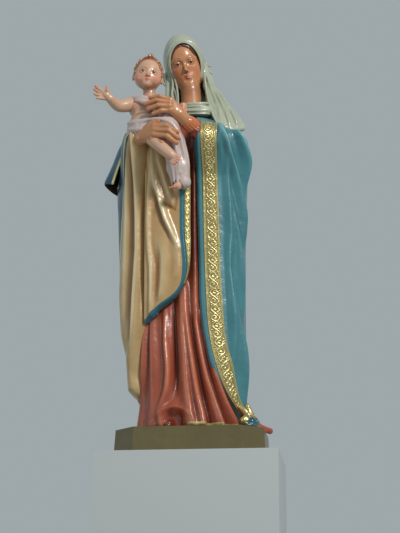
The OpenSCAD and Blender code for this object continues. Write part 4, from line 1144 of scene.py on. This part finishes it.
def build_child_hair():
    c = Clay((-56, -56, -50), (56, 64, 66), 0.9)
    c.add(ball((0, 6, 9), (42.2, 48.4, 44.4)))
    draw = np.random.default_rng(11)
    seeds, golden_turn = 210, 2.39996
    for i in range(seeds):
        up = 1 - 2 * (i + 0.5) / seeds
        turn = i * golden_turn
        n = np.array([math.sqrt(1 - up * up) * math.cos(turn), math.sqrt(1 - up * up) * math.sin(turn), up])
        if n[2] < -0.62:
            continue
        base = np.array([0, 6, 9]) + n * np.array([41.6, 48, 44])
        if base[1] < -18 and base[2] < 44:
            continue
        side = np.cross(n, (0.2, 0.1, 1.0))
        side /= np.linalg.norm(side)
        up_way = np.cross(side, n)
        hand_way = 1 if draw.random() > 0.5 else -1
        begin, size = draw.uniform(0, 6.28), draw.uniform(4.0, 5.4)
        curl = []
        for k in range(9):
            angle = begin + hand_way * k * 0.72
            reach = size * (1 - 0.085 * k)
            q = base + side * math.cos(angle) * reach + up_way * math.sin(angle) * reach + n * (0.2 * k)
            curl.append((*q, 1.9 - 0.1 * k))
        c.add(limb(*curl), 1.2)
    for s in (-1, 1):
        c.add(curve_limb((s * 1, -26, 45, 4), (s * 4, -30, 49, 4.4), (s * 2, -29, 53, 3.6),
                         (-s * 2, -26, 52, 2.4)), 3)
        c.add(curve_limb((s * 4, -22, 46, 3), (s * 12, -25, 45.5, 3), (s * 19, -22, 42, 2.4),
                         (s * 25, -18, 37, 1.6)), 3)
        c.add(curve_limb((s * 38, -14, 6, 2.6), (s * 40, -16, -2, 2.8), (s * 39, -12, -8, 2.4)), 1.5)
        for x, y, z in ((29, -18, 33), (36, -13, 23), (40, -9, 11)):
            c.add(curve_limb((s * (x - 4), y - 2, z + 5, 1.8), (s * (x + 1), y - 4, z + 2, 2.6),
                             (s * (x + 1), y - 4, z - 3, 2.6),
                             (s * (x - 3), y - 4, z - 4, 1.4)), 3.5)
    c.cut(ball((0, -56, 0), (41, 42, 47)), 3)
    c.cut(ball((0, -20, -54), (60, 50, 28)), 5)
    return c.mesh("child_hair", child_hair_paint, CHILD)


# ---------------------------------------------------------------- veil and collar
def build_veil():
    c = Clay((-112, -84, 868), (166, 100, 1224), 1.25)
    c.add(turned(ball((1, 15, 6), (59, 75, 86.5)), HEAD))
    c.add(limb((-20, 44, 1120, 34), (-4, 52, 1040, 30), (0, 54, 980, 30)), 26)
    c.add(web((-60, 44, 960, 22), (64, 44, 960, 22), (-6, 56, 1080, 26)), 22)
    c.add(web((-78, 52, 948, 14), (78, 52, 948, 14), (0, 66, 890, 14)), 12)
    c.add(curve_limb((-68, 4, 1096, 11), (-68, -4, 1060, 12), (-66, -18, 1015, 12), (-60, -32, 962, 12)), 10)
    for corners, soft in (
            (((-66, 6, 1080, 12), (-60, -20, 975, 12), (-64, 44, 985, 18)), 8),
            (((-64, 0, 1060, 10), (-50, -24, 1000, 10), (-52, -36, 962, 11)), 6),
            (((30, 4, 1120, 11), (40, -8, 1050, 10), (50, 6, 1060, 12)), 8),
            (((40, -10, 1054, 9), (50, -40, 977, 8), (74, -22, 998, 9)), 5),
            (((40, -6, 1054, 11), (74, -22, 998, 10), (70, 10, 1030, 12)), 6),
            (((50, -42, 977, 8), (78, -62, 912, 7), (80, -44, 969, 8)), 4),
            (((50, -42, 977, 8), (80, -44, 969, 8), (74, -22, 998, 9)), 4),
            (((80, -44, 969, 8), (78, -62, 912, 7), (114, -50, 904, 7)), 4),
            (((80, -44, 969, 8), (114, -50, 904, 7), (100, -26, 975, 9)), 4),
            (((74, -22, 998, 9), (80, -44, 969, 8), (100, -26, 975, 9)), 5),
            (((74, -14, 998, 10), (100, -24, 975, 10), (94, 8, 985, 11)), 6),
            (((100, -26, 975, 9), (114, -50, 904, 7), (140, -24, 916, 7)), 4),
            (((100, -20, 975, 9), (140, -22, 918, 7), (124, 16, 932, 10)), 5),
            (((94, 8, 985, 11), (74, 34, 985, 14), (124, 20, 928, 10)), 8),
            (((60, 10, 1040, 14), (56, 40, 990, 18), (96, 10, 982, 12)), 10)):
        c.add(web(*corners), soft)
    inner = turned(ball((2, 12, 5), (52, 68, 78)), HEAD)
    c.cut(inner, 3)
    c.cut(turned(ball((4, -54, -12), (46.5, 48, 70)), HEAD), 4)
    c.cut(limb((-12, -46, 1040, 44), (-6, -46, 985, 41), (0, -42, 940, 46)), 5)
    c.cut(limb((-12, -4, 1060, 37), (-6, -8, 985, 37), (-4, -6, 930, 46)), 4)
    ridges = [
        ((34, -30, 1087, 2.5), (37, -32, 1053, 3.4), (42, -36, 1018, 3.4), (51, -52, 977, 3.2),
         (64, -67, 937, 3), (78, -70, 908, 2)),
        ((40, -16, 1080, 2.5), (49, -20, 1050, 4), (62, -30, 1012, 4.4), (74, -46, 975, 4),
         (82, -60, 940, 3.4), (90, -66, 906, 2)),
        ((47, -8, 1066, 3), (62, -18, 1036, 4.6), (78, -34, 1000, 4.8), (92, -48, 968, 4.4),
         (104, -56, 930, 3.4), (108, -58, 904, 2)),
        ((56, 4, 1056, 3), (76, -10, 1026, 5), (96, -24, 992, 5), (112, -38, 960, 4.6),
         (124, -44, 930, 3.4), (127, -44, 910, 2)),
        ((60, 22, 1044, 3), (86, 8, 1012, 5.4), (112, -10, 976, 5), (132, -20, 944, 4.4),
         (146, -22, 922, 2.6)),
        ((-78, -2, 1100, 2.5), (-74, -12, 1064, 4), (-72, -26, 1018, 4), (-60, -40, 985, 3.4),
         (-56, -44, 962, 2.5)),
        ((-60, -20, 1084, 2), (-56, -28, 1052, 3.6), (-57, -36, 1020, 3.6), (-50, -44, 990, 3.2),
         (-46, -46, 962, 2.4)),
        ((-52, -26, 1076, 1.8), (-45, -32, 1050, 3), (-41, -36, 1021, 3.2), (-38, -46, 990, 2.8)),
        ((-62, 22, 1110, 3), (-74, 26, 1050, 6), (-74, 32, 990, 6), (-76, 42, 940, 4)),
        ((-40, 64, 1120, 3), (-46, 74, 1060, 6), (-50, 78, 1000, 6), (-54, 72, 930, 3)),
        ((-8, 76, 1130, 3), (-10, 86, 1060, 6), (-8, 88, 990, 6), (-4, 82, 920, 3)),
        ((26, 68, 1120, 3), (32, 76, 1060, 6), (36, 78, 1000, 6), (40, 74, 930, 3)),
        ((44, 50, 1090, 3), (58, 52, 1040, 6), (70, 52, 990, 6), (80, 52, 940, 3)),
    ]
    for path in ridges:
        c.add(curve_limb(*path), 3.5)
    valleys = [
        ((41, -30, 1060, 1), (52, -36, 1014, 1.6), (63, -56, 975, 1.6), (74, -68, 938, 1.4)),
        ((50, -22, 1058, 1), (68, -34, 1012, 1.8), (84, -52, 970, 1.6), (96, -62, 926, 1.4)),
        ((58, -10, 1048, 1), (80, -24, 1012, 2), (100, -42, 974, 1.8), (116, -54, 924, 1.4)),
        ((66, 6, 1044, 1), (90, -8, 1006, 2), (114, -26, 972, 1.8), (134, -36, 926, 1.4)),
        ((-68, -18, 1070, 1), (-66, -32, 1026, 1.6), (-56, -46, 985, 1.4)),
        ((-52, -30, 1062, 1), (-49, -38, 1030, 1.4), (-44, -48, 990, 1.2)),
    ]
    for path in valleys:
        c.cut(curve_limb(*path), 2.5)
    m = np.array(HEAD)

    def on_hood(width, height, lift, turn, out, r):
        x, z = 3 + width * math.sin(math.radians(turn)), lift + height * math.cos(math.radians(turn))
        y = 15 - 75 * math.sqrt(max(0.03, 1 - ((x - 1) / 59) ** 2 - ((z - 6) / 86.5) ** 2))
        return (*(m[:3, :3] @ np.array([x, y + out, z]) + m[:3, 3]), r)

    c.add(limb(*[on_hood(46, 70, -12, t, 2, 2.6) for t in np.linspace(-112, 112, 28)]), 2.5)
    c.cut(limb(*[on_hood(51, 75, -12, t, -1, 1.2) for t in np.linspace(-96, 104, 24)]), 2.5)
    c.add(curve_limb(on_hood(36, 82, -10, -20, -1, 2), on_hood(52, 78, -10, 30, 0, 3.4),
                     on_hood(54, 72, -12, 62, 1, 3.6),
                     on_hood(54, 70, -14, 92, 2, 3)), 4)
    c.add(curve_limb(on_hood(40, 84, -10, 16, 2, 2), on_hood(55, 76, -10, 48, 3, 3),
                     on_hood(56, 72, -14, 80, 5, 3)), 4)
    c.add(curve_limb(on_hood(40, 84, -10, -24, 0, 2), on_hood(53, 74, -10, -52, 1, 3.2),
                     on_hood(54, 72, -14, -86, 2, 3)), 4)
    for x, z in ((68, 902), (88, 888), (106, 884), (122, 888), (140, 900)):
        c.cut(ball((x, -62, z), (8.5, 34, 9)), 3)
    return c.mesh("veil_cloth", veil_paint)


def build_collar():
    c = Clay((-66, -84, 930), (70, 14, 1000), 1.0)
    c.add(ball((2, -28, 962), (52, 42, 24)))
    c.add(curve_limb((-48, -42, 960, 15), (-20, -58, 958, 16), (12, -62, 957, 16), (40, -55, 960, 16),
                     (56, -38, 965, 14)), 6)
    c.add(curve_limb((-44, -42, 978, 4.4), (-18, -62, 979, 5), (10, -67, 978, 5), (36, -58, 982, 4.6),
                     (52, -38, 988, 4)), 4)
    for z, r in ((968, 2.2), (956, 2.6), (946, 2.4)):
        c.add(curve_limb((-48, -54, z, r), (-18, -73, z - 1, r), (12, -78, z - 2, r), (42, -68, z + 1, r),
                         (60, -46, z + 6, r)), 3)
    c.cut(limb((-12, -4, 1060, 28), (-6, -8, 985, 28), (-4, -10, 940, 28)), 3)
    c.cut(ball((0, -30, 936), (80, 70, 8)), 3)
    return c.mesh("collar_cloth", veil_paint)


def build_knot():
    c = Clay((-98, -20, 1052), (70, 40, 1148), 0.9)
    for path in (((32, 8, 1112, 5), (38, 3, 1117, 4.4), (46, 1, 1121, 3.2), (50, 2, 1119, 1.8)),
                 ((32, 8, 1110, 5), (40, 2, 1107, 5), (48, 0, 1100, 3.8), (54, 0, 1096, 1.8)),
                 ((32, 8, 1108, 5), (37, 2, 1099, 4.6), (40, 0, 1091, 3.2), (44, 0, 1086, 1.6)),
                 ((30, 8, 1112, 5), (34, 2, 1121, 4.4), (38, 0, 1130, 2.4))):
        c.add(curve_limb(*path), 1.6)
    c.add(ball((35, 4, 1110), (6, 5, 6)), 2)
    for path in (((-80, -4, 1098, 5), (-86, -6, 1088, 5), (-86, -6, 1074, 4), (-82, -6, 1062, 2)),
                 ((-78, -6, 1100, 4), (-80, -10, 1086, 4.4), (-78, -10, 1070, 2.6))):
        c.add(curve_limb(*path), 2)
    return c.mesh("veil_knot_cloth", veil_paint)


# ---------------------------------------------------------------- sleeves and hands
def build_left_sleeve():
    c = Clay((-8, -150, 800), (140, 30, 920), 1.2)
    c.add(curve_limb((100, -18, 848, 34), (62, -62, 866, 29), (18, -108, 884, 23)))
    for path in (((100, -60, 856, 4), (66, -92, 874, 6), (30, -122, 892, 5), (16, -132, 896, 3)),
                 ((104, -52, 838, 4), (66, -92, 852, 6), (30, -126, 872, 5), (14, -136, 880, 3)),
                 ((96, -40, 872, 4), (62, -78, 892, 6), (22, -112, 910, 5)),
                 ((92, -30, 822, 4), (60, -76, 838, 6), (22, -118, 862, 5))):
        c.add(curve_limb(*path), 6)
    c.cut(limb((20, -104, 884, 18), (-10, -140, 898, 19)), 3)
    return c.mesh("left_sleeve_cloth", robe_paint)


def build_cuff():
    c = Clay((-30, -158, 856), (44, -84, 930), 0.9)
    c.add(limb((9, -123, 892, 22), (-1, -134, 898, 20)))
    c.cut(limb((16, -114, 887, 17), (-22, -154, 909, 17)), 2)
    c.cut(limb((24, -106, 883, 21), (17, -114, 887, 20.5)), 1)
    for k in range(18):
        t = k * 2 * math.pi / 18
        axis = np.array([-16, -16, 10.0]) / np.linalg.norm([16, 16, 10])
        side = np.cross(axis, (0, 0, 1.0))
        side /= np.linalg.norm(side)
        up = np.cross(side, axis)
        way = side * math.cos(t) + up * math.sin(t)
        a, b = np.array([9, -123, 892]) + way * 21.4, np.array([-1, -134, 898]) + way * 19.6
        c.add(limb((*a, 1.8), (*b, 1.3)), 2)
    return c.mesh("cuff_cloth", cuff_paint)


def build_right_sleeve():
    c = Clay((-210, -146, 794), (-70, 46, 940), 1.3)
    c.add(curve_limb((-112, 4, 898, 31), (-164, -8, 850, 27), (-156, -62, 842, 24), (-144, -102, 845, 21)))
    for path in (((-170, -60, 830, 4), (-158, -96, 826, 5), (-146, -116, 834, 4)),
                 ((-150, -80, 822, 4), (-140, -104, 824, 4), (-132, -116, 834, 3))):
        c.add(curve_limb(*path), 6)
    c.cut(limb((-150, -96, 842, 17), (-136, -132, 851, 18)), 2)
    return c.mesh("right_sleeve_cloth", robe_paint)


def hand(name, fingers, thumb, wrist, palm, low, high):
    """A hand whose finger nails look along OUT."""
    c = Clay(low, high, 0.7)
    c.add(curve_limb(*wrist))
    for a, b, d in palm:
        c.add(web(a, b, d), 6)
    for finger in fingers:
        root, middle, tip = (np.array(v, float) for v in finger)
        knuckle = (root + middle) / 2
        c.add(limb((*root[:3], root[3]), (*knuckle[:3], knuckle[3] * 0.9), (*middle[:3], middle[3]),
                   (*((middle + tip) / 2)[:3], (middle[3] + tip[3]) / 2 * 0.95), (*tip[:3], tip[3])), 2.2)
        c.add(ball(root[:3] + OUT * 2.2, root[3] * 0.8), 4)
    c.add(curve_limb(*thumb), 6)
    nails = []
    for finger in fingers + [thumb]:
        middle, tip = np.array(finger[-2], float), np.array(finger[-1], float)
        way = (tip[:3] - middle[:3]) / np.linalg.norm(tip[:3] - middle[:3])
        out = OUT - way * (OUT @ way)
        out /= np.linalg.norm(out)
        centre = tip[:3] + out * tip[3] * 0.62 + way * 1.0
        nails.append((centre, tip[3]))
        c.add(ball(centre, tip[3] * 0.5), 1.2)

    def colours(p):
        blush = np.zeros(len(p))
        shade = np.zeros(len(p))
        for centre, r in nails:
            blush = np.maximum(blush, 0.35 * bell(np.linalg.norm(p - centre, axis=1) / (1.1 * r)))
        for one, two in zip(fingers, fingers[1:]):
            for i in (0, 1):
                q = (np.array(one[i][:3], float) + np.array(two[i][:3], float)) / 2
                shade = np.maximum(shade, 0.5 * bell(np.linalg.norm(p - q, axis=1) / 5))
        return {"blush": blush, "shade": shade}

    return c.mesh(name, flesh_paint, None, colours)


OUT = np.array([0, -1, 0.25])
LEFT_FINGERS = [[(-44, -172, 949, 8), (-72, -180, 958, 7.2), (-98, -177, 956, 5.8)],
                [(-44, -176, 939, 8), (-80, -185, 945, 7.2), (-111, -180, 938, 5.8)],
                [(-44, -177, 929, 8), (-76, -186, 930, 7.2), (-103, -181, 922, 5.8)],
                [(-44, -174, 919, 7.5), (-68, -182, 916, 6.8), (-90, -179, 909, 5.2)]]
RIGHT_FINGERS = [[(-86, -176, 872, 8.5), (-52, -190, 868, 7.8), (-22, -187, 850, 6.2)],
                 [(-84, -180, 860, 8.5), (-46, -195, 853, 7.8), (-18, -190, 831, 6.2)],
                 [(-86, -180, 847, 8.5), (-50, -194, 838, 7.8), (-24, -190, 818, 6.2)],
                 [(-92, -175, 835, 8), (-64, -189, 821, 7.2), (-43, -186, 802, 5.8)]]


def build_left_hand():
    return hand("left_hand_flesh", LEFT_FINGERS, [(-24, -152, 930, 9), (-38, -152, 946, 8),
                                                  (-50, -150, 958, 6.6)],
                [(10, -120, 890, 18), (-8, -142, 903, 18), (-22, -155, 914, 17)],
                [((-20, -152, 912, 14), (-44, -171, 948, 9), (-44, -173, 920, 9)),
                 ((-22, -154, 922, 14), (-40, -168, 944, 10), (-40, -170, 924, 10))],
                (-122, -204, 870), (26, -104, 976))


def build_right_hand():
    return hand("right_hand_flesh", RIGHT_FINGERS,
                [(-124, -152, 864, 10), (-108, -164, 876, 8.6), (-92, -174, 884, 8), (-76, -178, 887, 6.4)],
                [(-150, -98, 842, 17), (-142, -120, 846, 17), (-130, -142, 852, 17)],
                [((-128, -144, 852, 16), (-88, -174, 870, 10), (-94, -172, 838, 9)),
                 ((-118, -150, 856, 15), (-86, -176, 864, 10), (-90, -176, 846, 10))],
                (-170, -212, 790), (-6, -78, 906))


# ---------------------------------------------------------------- child
def flesh_marks(spots, dark=()):
    """Soft blush at spots and soft shade at dark places, each a centre and a radius."""
    def colours(p):
        blush, shade = np.zeros(len(p)), np.zeros(len(p))
        for c, r in spots:
            blush = np.maximum(blush, 0.7 * bell(np.linalg.norm(p - np.array(c), axis=1) / r))
        for c, r in dark:
            shade = np.maximum(shade, 0.45 * bell(np.linalg.norm(p - np.array(c), axis=1) / r))
        return {"blush": blush, "shade": shade}
    return colours


def build_child_torso():
    c = Clay((-180, -166, 850), (-66, -74, 1000), 1.0)
    c.add(ball((-120, -114, 950), (47, 31, 33)))
    c.add(ball((-122, -122, 900), (41, 35, 37)), 18)
    c.add(ball((-138, -134, 950), (17, 13, 14)), 10)
    c.add(ball((-100, -134, 948), (17, 13, 14)), 10)
    c.add(ball((-122, -136, 910), (28, 20, 24)), 12)
    c.cut(limb((-119, -148, 962, 1.2), (-120, -154, 930, 1.0)), 4)
    c.cut(ball((-120, -160, 905), 1.8), 2.5)
    c.cut(ball((-120, -112, 990), (9, 9, 12)), 3)
    c.add(limb((-110, -114, 975, 19), (-110, -113, 984, 18)), 6)
    return c.mesh("child_torso_flesh", child_flesh_paint, None,
                  flesh_marks([((-140, -146, 948), 5), ((-100, -146, 946), 5)], [((-120, -154, 945), 9)]))


def build_child_right_arm():
    c = Clay((-258, -210, 920), (-128, -90, 1006), 0.8)
    c.add(curve_limb((-152, -118, 966, 20), (-170, -134, 955, 19), (-188, -150, 947, 16),
                     (-200, -166, 952, 14),
                     (-208, -178, 958, 11.5)))
    c.add(limb((-208, -178, 958, 11.5), (-217, -185, 965, 11)), 3)
    for path in (((-222, -187, 972, 5.6), (-235, -190, 982, 4.8), (-246, -192, 991, 3.8)),
                 ((-224, -186, 967, 5.6), (-238, -188, 975, 4.8), (-249, -190, 982, 3.8)),
                 ((-224, -186, 961, 5.4), (-238, -190, 965, 4.6), (-248, -193, 968, 3.6)),
                 ((-222, -186, 956, 5.0), (-233, -191, 956, 4.4), (-241, -195, 955, 3.4)),
                 ((-212, -188, 970, 5.4), (-214, -193, 979, 4.6), (-214, -195, 987, 3.8))):
        c.add(curve_limb(*path), 2)
    c.cut(limb((-196, -176, 962, 0.8), (-206, -172, 944, 0.8)), 3)
    return c.mesh("child_right_arm_flesh", child_flesh_paint, None,
                  flesh_marks([((-247, -192, 990), 6), ((-249, -190, 982), 6), ((-214, -194, 986), 5)],
                              [((-200, -170, 950), 6)]))


def build_child_left_arm():
    c = Clay((-104, -160, 906), (4, -88, 992), 0.8)
    c.add(curve_limb((-80, -112, 966, 18), (-62, -118, 956, 16), (-44, -124, 947, 14),
                     (-24, -132, 939, 10.5)))
    c.add(ball((-15, -142, 932), (11, 10, 10)), 3)
    for z in (940, 934, 928, 922):
        c.add(curve_limb((-20, -147, z, 4.2), (-12, -152, z - 1, 4.4), (-5, -148, z - 2, 4)), 1.2)
    c.add(curve_limb((-20, -146, 944, 4.4), (-11, -150, 945, 4.2), (-5, -146, 942, 3.6)), 1.5)
    return c.mesh("child_left_arm_flesh", child_flesh_paint, None,
                  flesh_marks([((-12, -150, 934), 12)], [((-30, -132, 940), 6)]))


def build_gown():
    c = Clay((-184, -176, 694), (18, -76, 996), 1.1)
    c.add(ball((-124, -119, 886), (46, 37, 33)))
    c.add(ball((-122, -118, 902), (44, 37, 22)), 10)
    c.add(web((-116, -134, 884, 30), (-54, -139, 888, 28), (-70, -137, 862, 29)), 14)
    c.add(web((-54, -139, 888, 28), (-40, -133, 840, 30), (-80, -135, 850, 28)), 14)
    c.add(web((-40, -133, 840, 30), (-24, -131, 770, 25), (-38, -127, 770, 19)), 14)
    c.add(web((-24, -131, 770, 25), (-38, -127, 770, 19), (-12, -128, 728, 18)), 10)
    c.add(web((-38, -127, 770, 19), (-12, -128, 728, 18), (-32, -128, 726, 14)), 8)
    c.add(curve_limb((-166, -118, 972, 9), (-134, -138, 972, 11), (-100, -147, 955, 12), (-72, -146, 932, 12),
                     (-54, -144, 906, 13)), 6)
    c.add(curve_limb((-158, -128, 962, 6), (-130, -148, 960, 7), (-96, -157, 940, 8), (-74, -156, 916, 8)), 4)
    folds = [
        ((-164, -140, 900, 3), (-130, -158, 896, 5), (-90, -168, 898, 6), (-50, -168, 890, 6),
         (-22, -160, 856, 6), (-8, -150, 800, 5), (-4, -142, 745, 4)),
        ((-160, -142, 880, 3), (-124, -160, 872, 5), (-84, -168, 872, 5), (-46, -168, 850, 6),
         (-26, -160, 800, 5), (-20, -152, 748, 4)),
        ((-62, -166, 872, 3), (-40, -163, 842, 4), (-30, -158, 800, 4.2), (-27, -152, 760, 4),
         (-26, -148, 720, 3)),
        ((-150, -140, 862, 3), (-116, -160, 850, 5), (-80, -166, 842, 5), (-54, -160, 806, 5),
         (-40, -150, 764, 4.4), (-35, -144, 724, 3.4)),
        ((-60, -166, 900, 3), (-34, -160, 880, 4.5), (-12, -146, 840, 4.5), (0, -136, 790, 4),
         (0, -130, 750, 3)),
    ]
    for path in folds:
        c.add(curve_limb(*path, count=22), 6)
    waist = curve_limb((-164, -132, 902, 3), (-140, -150, 908, 3.6), (-110, -158, 912, 4),
                       (-84, -162, 912, 4))
    c.add(waist, 6)
    c.cut(ball((-120, -114, 956), (46, 36, 33)), 3)
    c.cut(limb((-26, -132, 730, 13), (-28, -134, 702, 16)), 4)
    for x, z in ((-40, 706), (-20, 703), (-2, 706)):
        c.cut(ball((x, -150, z), (5, 20, 9)), 3)

    def colours(p):
        x, y, z = p.T
        near = np.abs(waist[0](x, y, z))
        return {"line": (1 - step(0.5, 2.5, near)) * 0.5 + 0.35 * (1 - step(706, 716, z))}

    return c.mesh("gown_cloth", gown_paint, None, colours)


def build_foot(name, path, toes, low, high):
    c = Clay(low, high, 0.8)
    c.add(curve_limb(*path))
    for toe in toes:
        c.add(limb(*toe), 1.2)
    return c.mesh(name, child_flesh_paint, None, flesh_marks([(t[-1][:3], 5) for t in toes]))


def build_right_foot():
    return build_foot("right_foot_flesh", [(-94, -164, 838, 16), (-70, -178, 816, 17), (-46, -185, 792, 15),
                                           (-29, -187, 777, 11)],
                      [((-30, -192, 782, 5), (-18, -194, 776, 4.6)),
                       ((-30, -192, 776, 4.6), (-18, -195, 769, 4.2)),
                       ((-32, -192, 771, 4.4), (-21, -195, 763, 4)),
                       ((-35, -191, 768, 4.2), (-26, -194, 759, 3.6)),
                       ((-38, -190, 766, 4), (-31, -193, 757, 3.4))],
                      (-116, -204, 748), (-8, -144, 860))


def build_left_foot():
    return build_foot("left_foot_flesh", [(-24, -130, 732, 12), (-27, -140, 714, 11), (-31, -152, 706, 9)],
                      [((-26, -154, 708, 4.4), (-26, -163, 704, 4)),
                       ((-32, -156, 707, 4), (-33, -165, 703, 3.5)),
                       ((-38, -154, 706, 3.6), (-40, -162, 703, 3)),
                       ((-43, -151, 706, 3.2), (-46, -158, 703, 2.6))],
                      (-58, -176, 692), (-4, -110, 750))


# ---------------------------------------------------------------- shoe and the end of the hem
def build_shoe():
    c = Clay((-76, -140, 64), (-16, -40, 104), 0.9)
    c.add(curve_limb((-46, -60, 80, 18), (-47, -84, 78, 16.5), (-49, -106, 75, 13.5), (-50, -119, 73, 9.5)))
    c.add(limb((-60, -80, 69, 4.5), (-61, -106, 68.5, 4), (-50, -127, 68, 3.5), (-38, -106, 68.5, 4),
               (-36, -80, 69, 4.5)), 3)
    c.cut(ball((-46, -90, 56), (60, 70, 9.3)), 0)
    return c.mesh("shoe_leather", shoe_paint)


def build_hem_fold():
    c = Clay((108, -104, 46), (216, -16, 142), 0.9)
    c.add(curve_limb((132, -74, 122, 6), (146, -76, 108, 9), (158, -72, 92, 10), (168, -66, 78, 9)), 3)
    c.add(curve_limb((150, -58, 128, 6), (156, -60, 108, 9), (166, -60, 92, 9), (172, -58, 78, 9)), 3)
    c.add(limb((142, -76, 86, 12), (164, -66, 78, 10)), 4)
    c.add(limb((160, -52, 100, 9), (172, -50, 82, 10)), 4)
    c.add(curve_limb((168, -62, 78, 9.5), (184, -54, 71, 8), (198, -44, 66, 8), (206, -36, 64, 8.4)), 4)
    c.add(curve_limb((150, -86, 74, 4), (166, -78, 72, 5), (184, -62, 66, 4), (196, -52, 60, 3)), 3)
    for path in (((128, -82, 118, 1.6), (140, -86, 104, 2.2), (150, -88, 88, 2)),
                 ((144, -70, 126, 1.6), (154, -80, 106, 2.2), (164, -80, 88, 2)),
                 ((154, -54, 122, 1.6), (164, -62, 104, 2), (174, -64, 88, 1.6))):
        c.cut(curve_limb(*path), 4)

    def colours(p):
        x, _, z = p.T
        red = step(176, 180, x + 0.35 * (74 - z))
        blue = step(157, 160, x + 0.5 * (96 - z)) * (1 - red) * (1 - step(92, 96, z))
        return {"red": red, "blue": blue, "low": 0.5 + 0.5 * value_noise(p, 5, 9)}

    return c.mesh("hem_fold_cloth", hem_paint, None, colours)


shoe_paint = paint("shoe enamel", srgb(128, 46, 30), srgb(70, 24, 16), rough=0.22, coat=0.7, wear=0.4)
hem_paint = paint("hem end enamel", GOLD, GOLD_DARK, rough=0.3, coat=0.5, metallic=0.8, wear=0.3, masks=[
    ("low", 0.5, 0.9, GOLD_DARK, 0.45, 0.4), ("blue", 0.4, 0.6, BLUE_DARK, 0.2, 0),
    ("red", 0.4, 0.6, RED, 0.2, 0)])

# ---------------------------------------------------------------- every piece, and what it stands for
LOOKS = [
    ("robe", build_robe), ("mantle", build_mantle), ("mantle_border", build_mantle_band),
    ("mantle_lining_drape", build_panel), ("lining_side_fall", build_fall),
    ("drape_border", build_panel_band), ("mantle_sleeve_fold", build_sleeve_fold),
    ("mantle_sleeve_fold", build_inner_leaf), ("mantle_hem_fold", build_hem_fold), ("shoe", build_shoe),
    ("collar", build_collar), ("veil", build_veil), ("veil_knot", build_knot),
    ("left_sleeve", build_left_sleeve), ("left_cuff", build_cuff), ("right_sleeve", build_right_sleeve),
    ("left_hand", build_left_hand), ("right_hand", build_right_hand), ("madonna_head", build_mother_head),
    ("madonna_hair_cap", build_mother_hair), ("madonna_eyes", build_mother_eyes),
    ("child_torso", build_child_torso), ("child_gown", build_gown), ("child_head", build_child_head),
    ("child_hair_cap", build_child_hair), ("child_eyes", build_child_eyes),
    ("child_right_arm", build_child_right_arm), ("child_left_arm", build_child_left_arm),
    ("child_right_foot", build_right_foot), ("child_left_foot", build_left_foot),
]

CARRIED = {
    "plinth_paint": plinth_paint,
    "bare_plaster": paint("bare plaster", srgb(214, 208, 194), srgb(176, 168, 150), rough=0.8,
                          coat=0.0, wear=0.4),
    "timber": paint("timber", srgb(164, 124, 80), srgb(120, 84, 50), rough=0.6, coat=0.0,
                    wear=0.6, uneven=18.0),
    "rod_iron": paint("rod iron", srgb(96, 92, 90), srgb(70, 52, 42), rough=0.5, coat=0.0,
                      metallic=0.8, wear=0.6),
    "dowel_iron": paint("dowel iron", srgb(104, 100, 98), srgb(74, 56, 46), rough=0.5, coat=0.0,
                        metallic=0.8, wear=0.6),
    "screw_steel": paint("screw steel", srgb(168, 168, 170), srgb(120, 118, 116), rough=0.35,
                         coat=0.0, metallic=0.95),
}
SLOTS = {part["node"]: part["material_slot"] for part in frame["record"]["subparts"]}
shown_by_looks = {key for key, _ in LOOKS}
for key, slot in SLOTS.items():
    if key not in shown_by_looks:
        mesh = frame["nodes"][key].data
        mesh.materials.clear()
        mesh.materials.append(CARRIED[slot])

for key, build in LOOKS:
    obj = build()
    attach(obj, "root")
    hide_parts(key)

# ---------------------------------------------------------------- camera, light, stage
camera_data = bpy.data.cameras.new("camera")
camera = bpy.data.objects.new("camera", camera_data)
bpy.context.scene.collection.objects.link(camera)
camera_data.sensor_fit = "VERTICAL"
camera_data.sensor_height = 36
camera_data.lens = 97.3
# The camera stands below the plinth and a little to the right, and looks up.
CAMERA_PLACE = (0.437, -3.775, -0.545)
yaw, pitch = math.radians(-6.33), math.radians(15.76)
aim = Vector((math.sin(yaw) * math.cos(pitch), math.cos(yaw) * math.cos(pitch), math.sin(pitch)))
camera.matrix_world = Matrix.Translation(CAMERA_PLACE) @ aim.to_track_quat("-Z", "Y").to_matrix().to_4x4()
bpy.context.scene.camera = camera
bpy.context.scene.view_settings.view_transform = "Standard"

world = bpy.data.worlds.new("world")
world.use_nodes = True
bpy.context.scene.world = world
world.node_tree.nodes["Background"].inputs["Color"].default_value = (*srgb(158, 168, 171), 1)
world.node_tree.nodes["Background"].inputs["Strength"].default_value = 1.0


def area_light(name, place, target, size, power, colour):
    data = bpy.data.lights.new(name, "AREA")
    data.shape = "RECTANGLE"
    data.size, data.size_y = size
    data.energy = power
    data.color = colour
    obj = bpy.data.objects.new(name, data)
    obj.location = place
    obj.rotation_euler = (Vector(target) - Vector(place)).to_track_quat("-Z", "Y").to_euler()
    bpy.context.scene.collection.objects.link(obj)


area_light("key", (1.7, -2.1, 2.3), (0, 0, 0.7), (0.45, 0.6), 62, (1.0, 0.97, 0.92))
area_light("fill", (-2.4, -2.2, 0.9), (0, 0, 0.6), (1.6, 1.6), 8, (0.9, 0.95, 1.0))

STAND = (0.47, 0.34, 0.9)
bpy.ops.mesh.primitive_cube_add(size=1, location=(0, 0, -STAND[2] / 2))
stand = bpy.context.object
stand.name = "stand"
stand.scale = STAND
stage_mat = bpy.data.materials.new("stage")
stage_mat.use_nodes = True
stage_shader = stage_mat.node_tree.nodes["Principled BSDF"]
stage_shader.inputs["Base Color"].default_value = (*srgb(196, 200, 200), 1)
stage_shader.inputs["Roughness"].default_value = 0.8
stand.data.materials.append(stage_mat)
bpy.ops.mesh.primitive_plane_add(size=20, location=(0, 0, -STAND[2]))
floor = bpy.context.object
floor.name = "floor"
floor.data.materials.append(stage_mat)
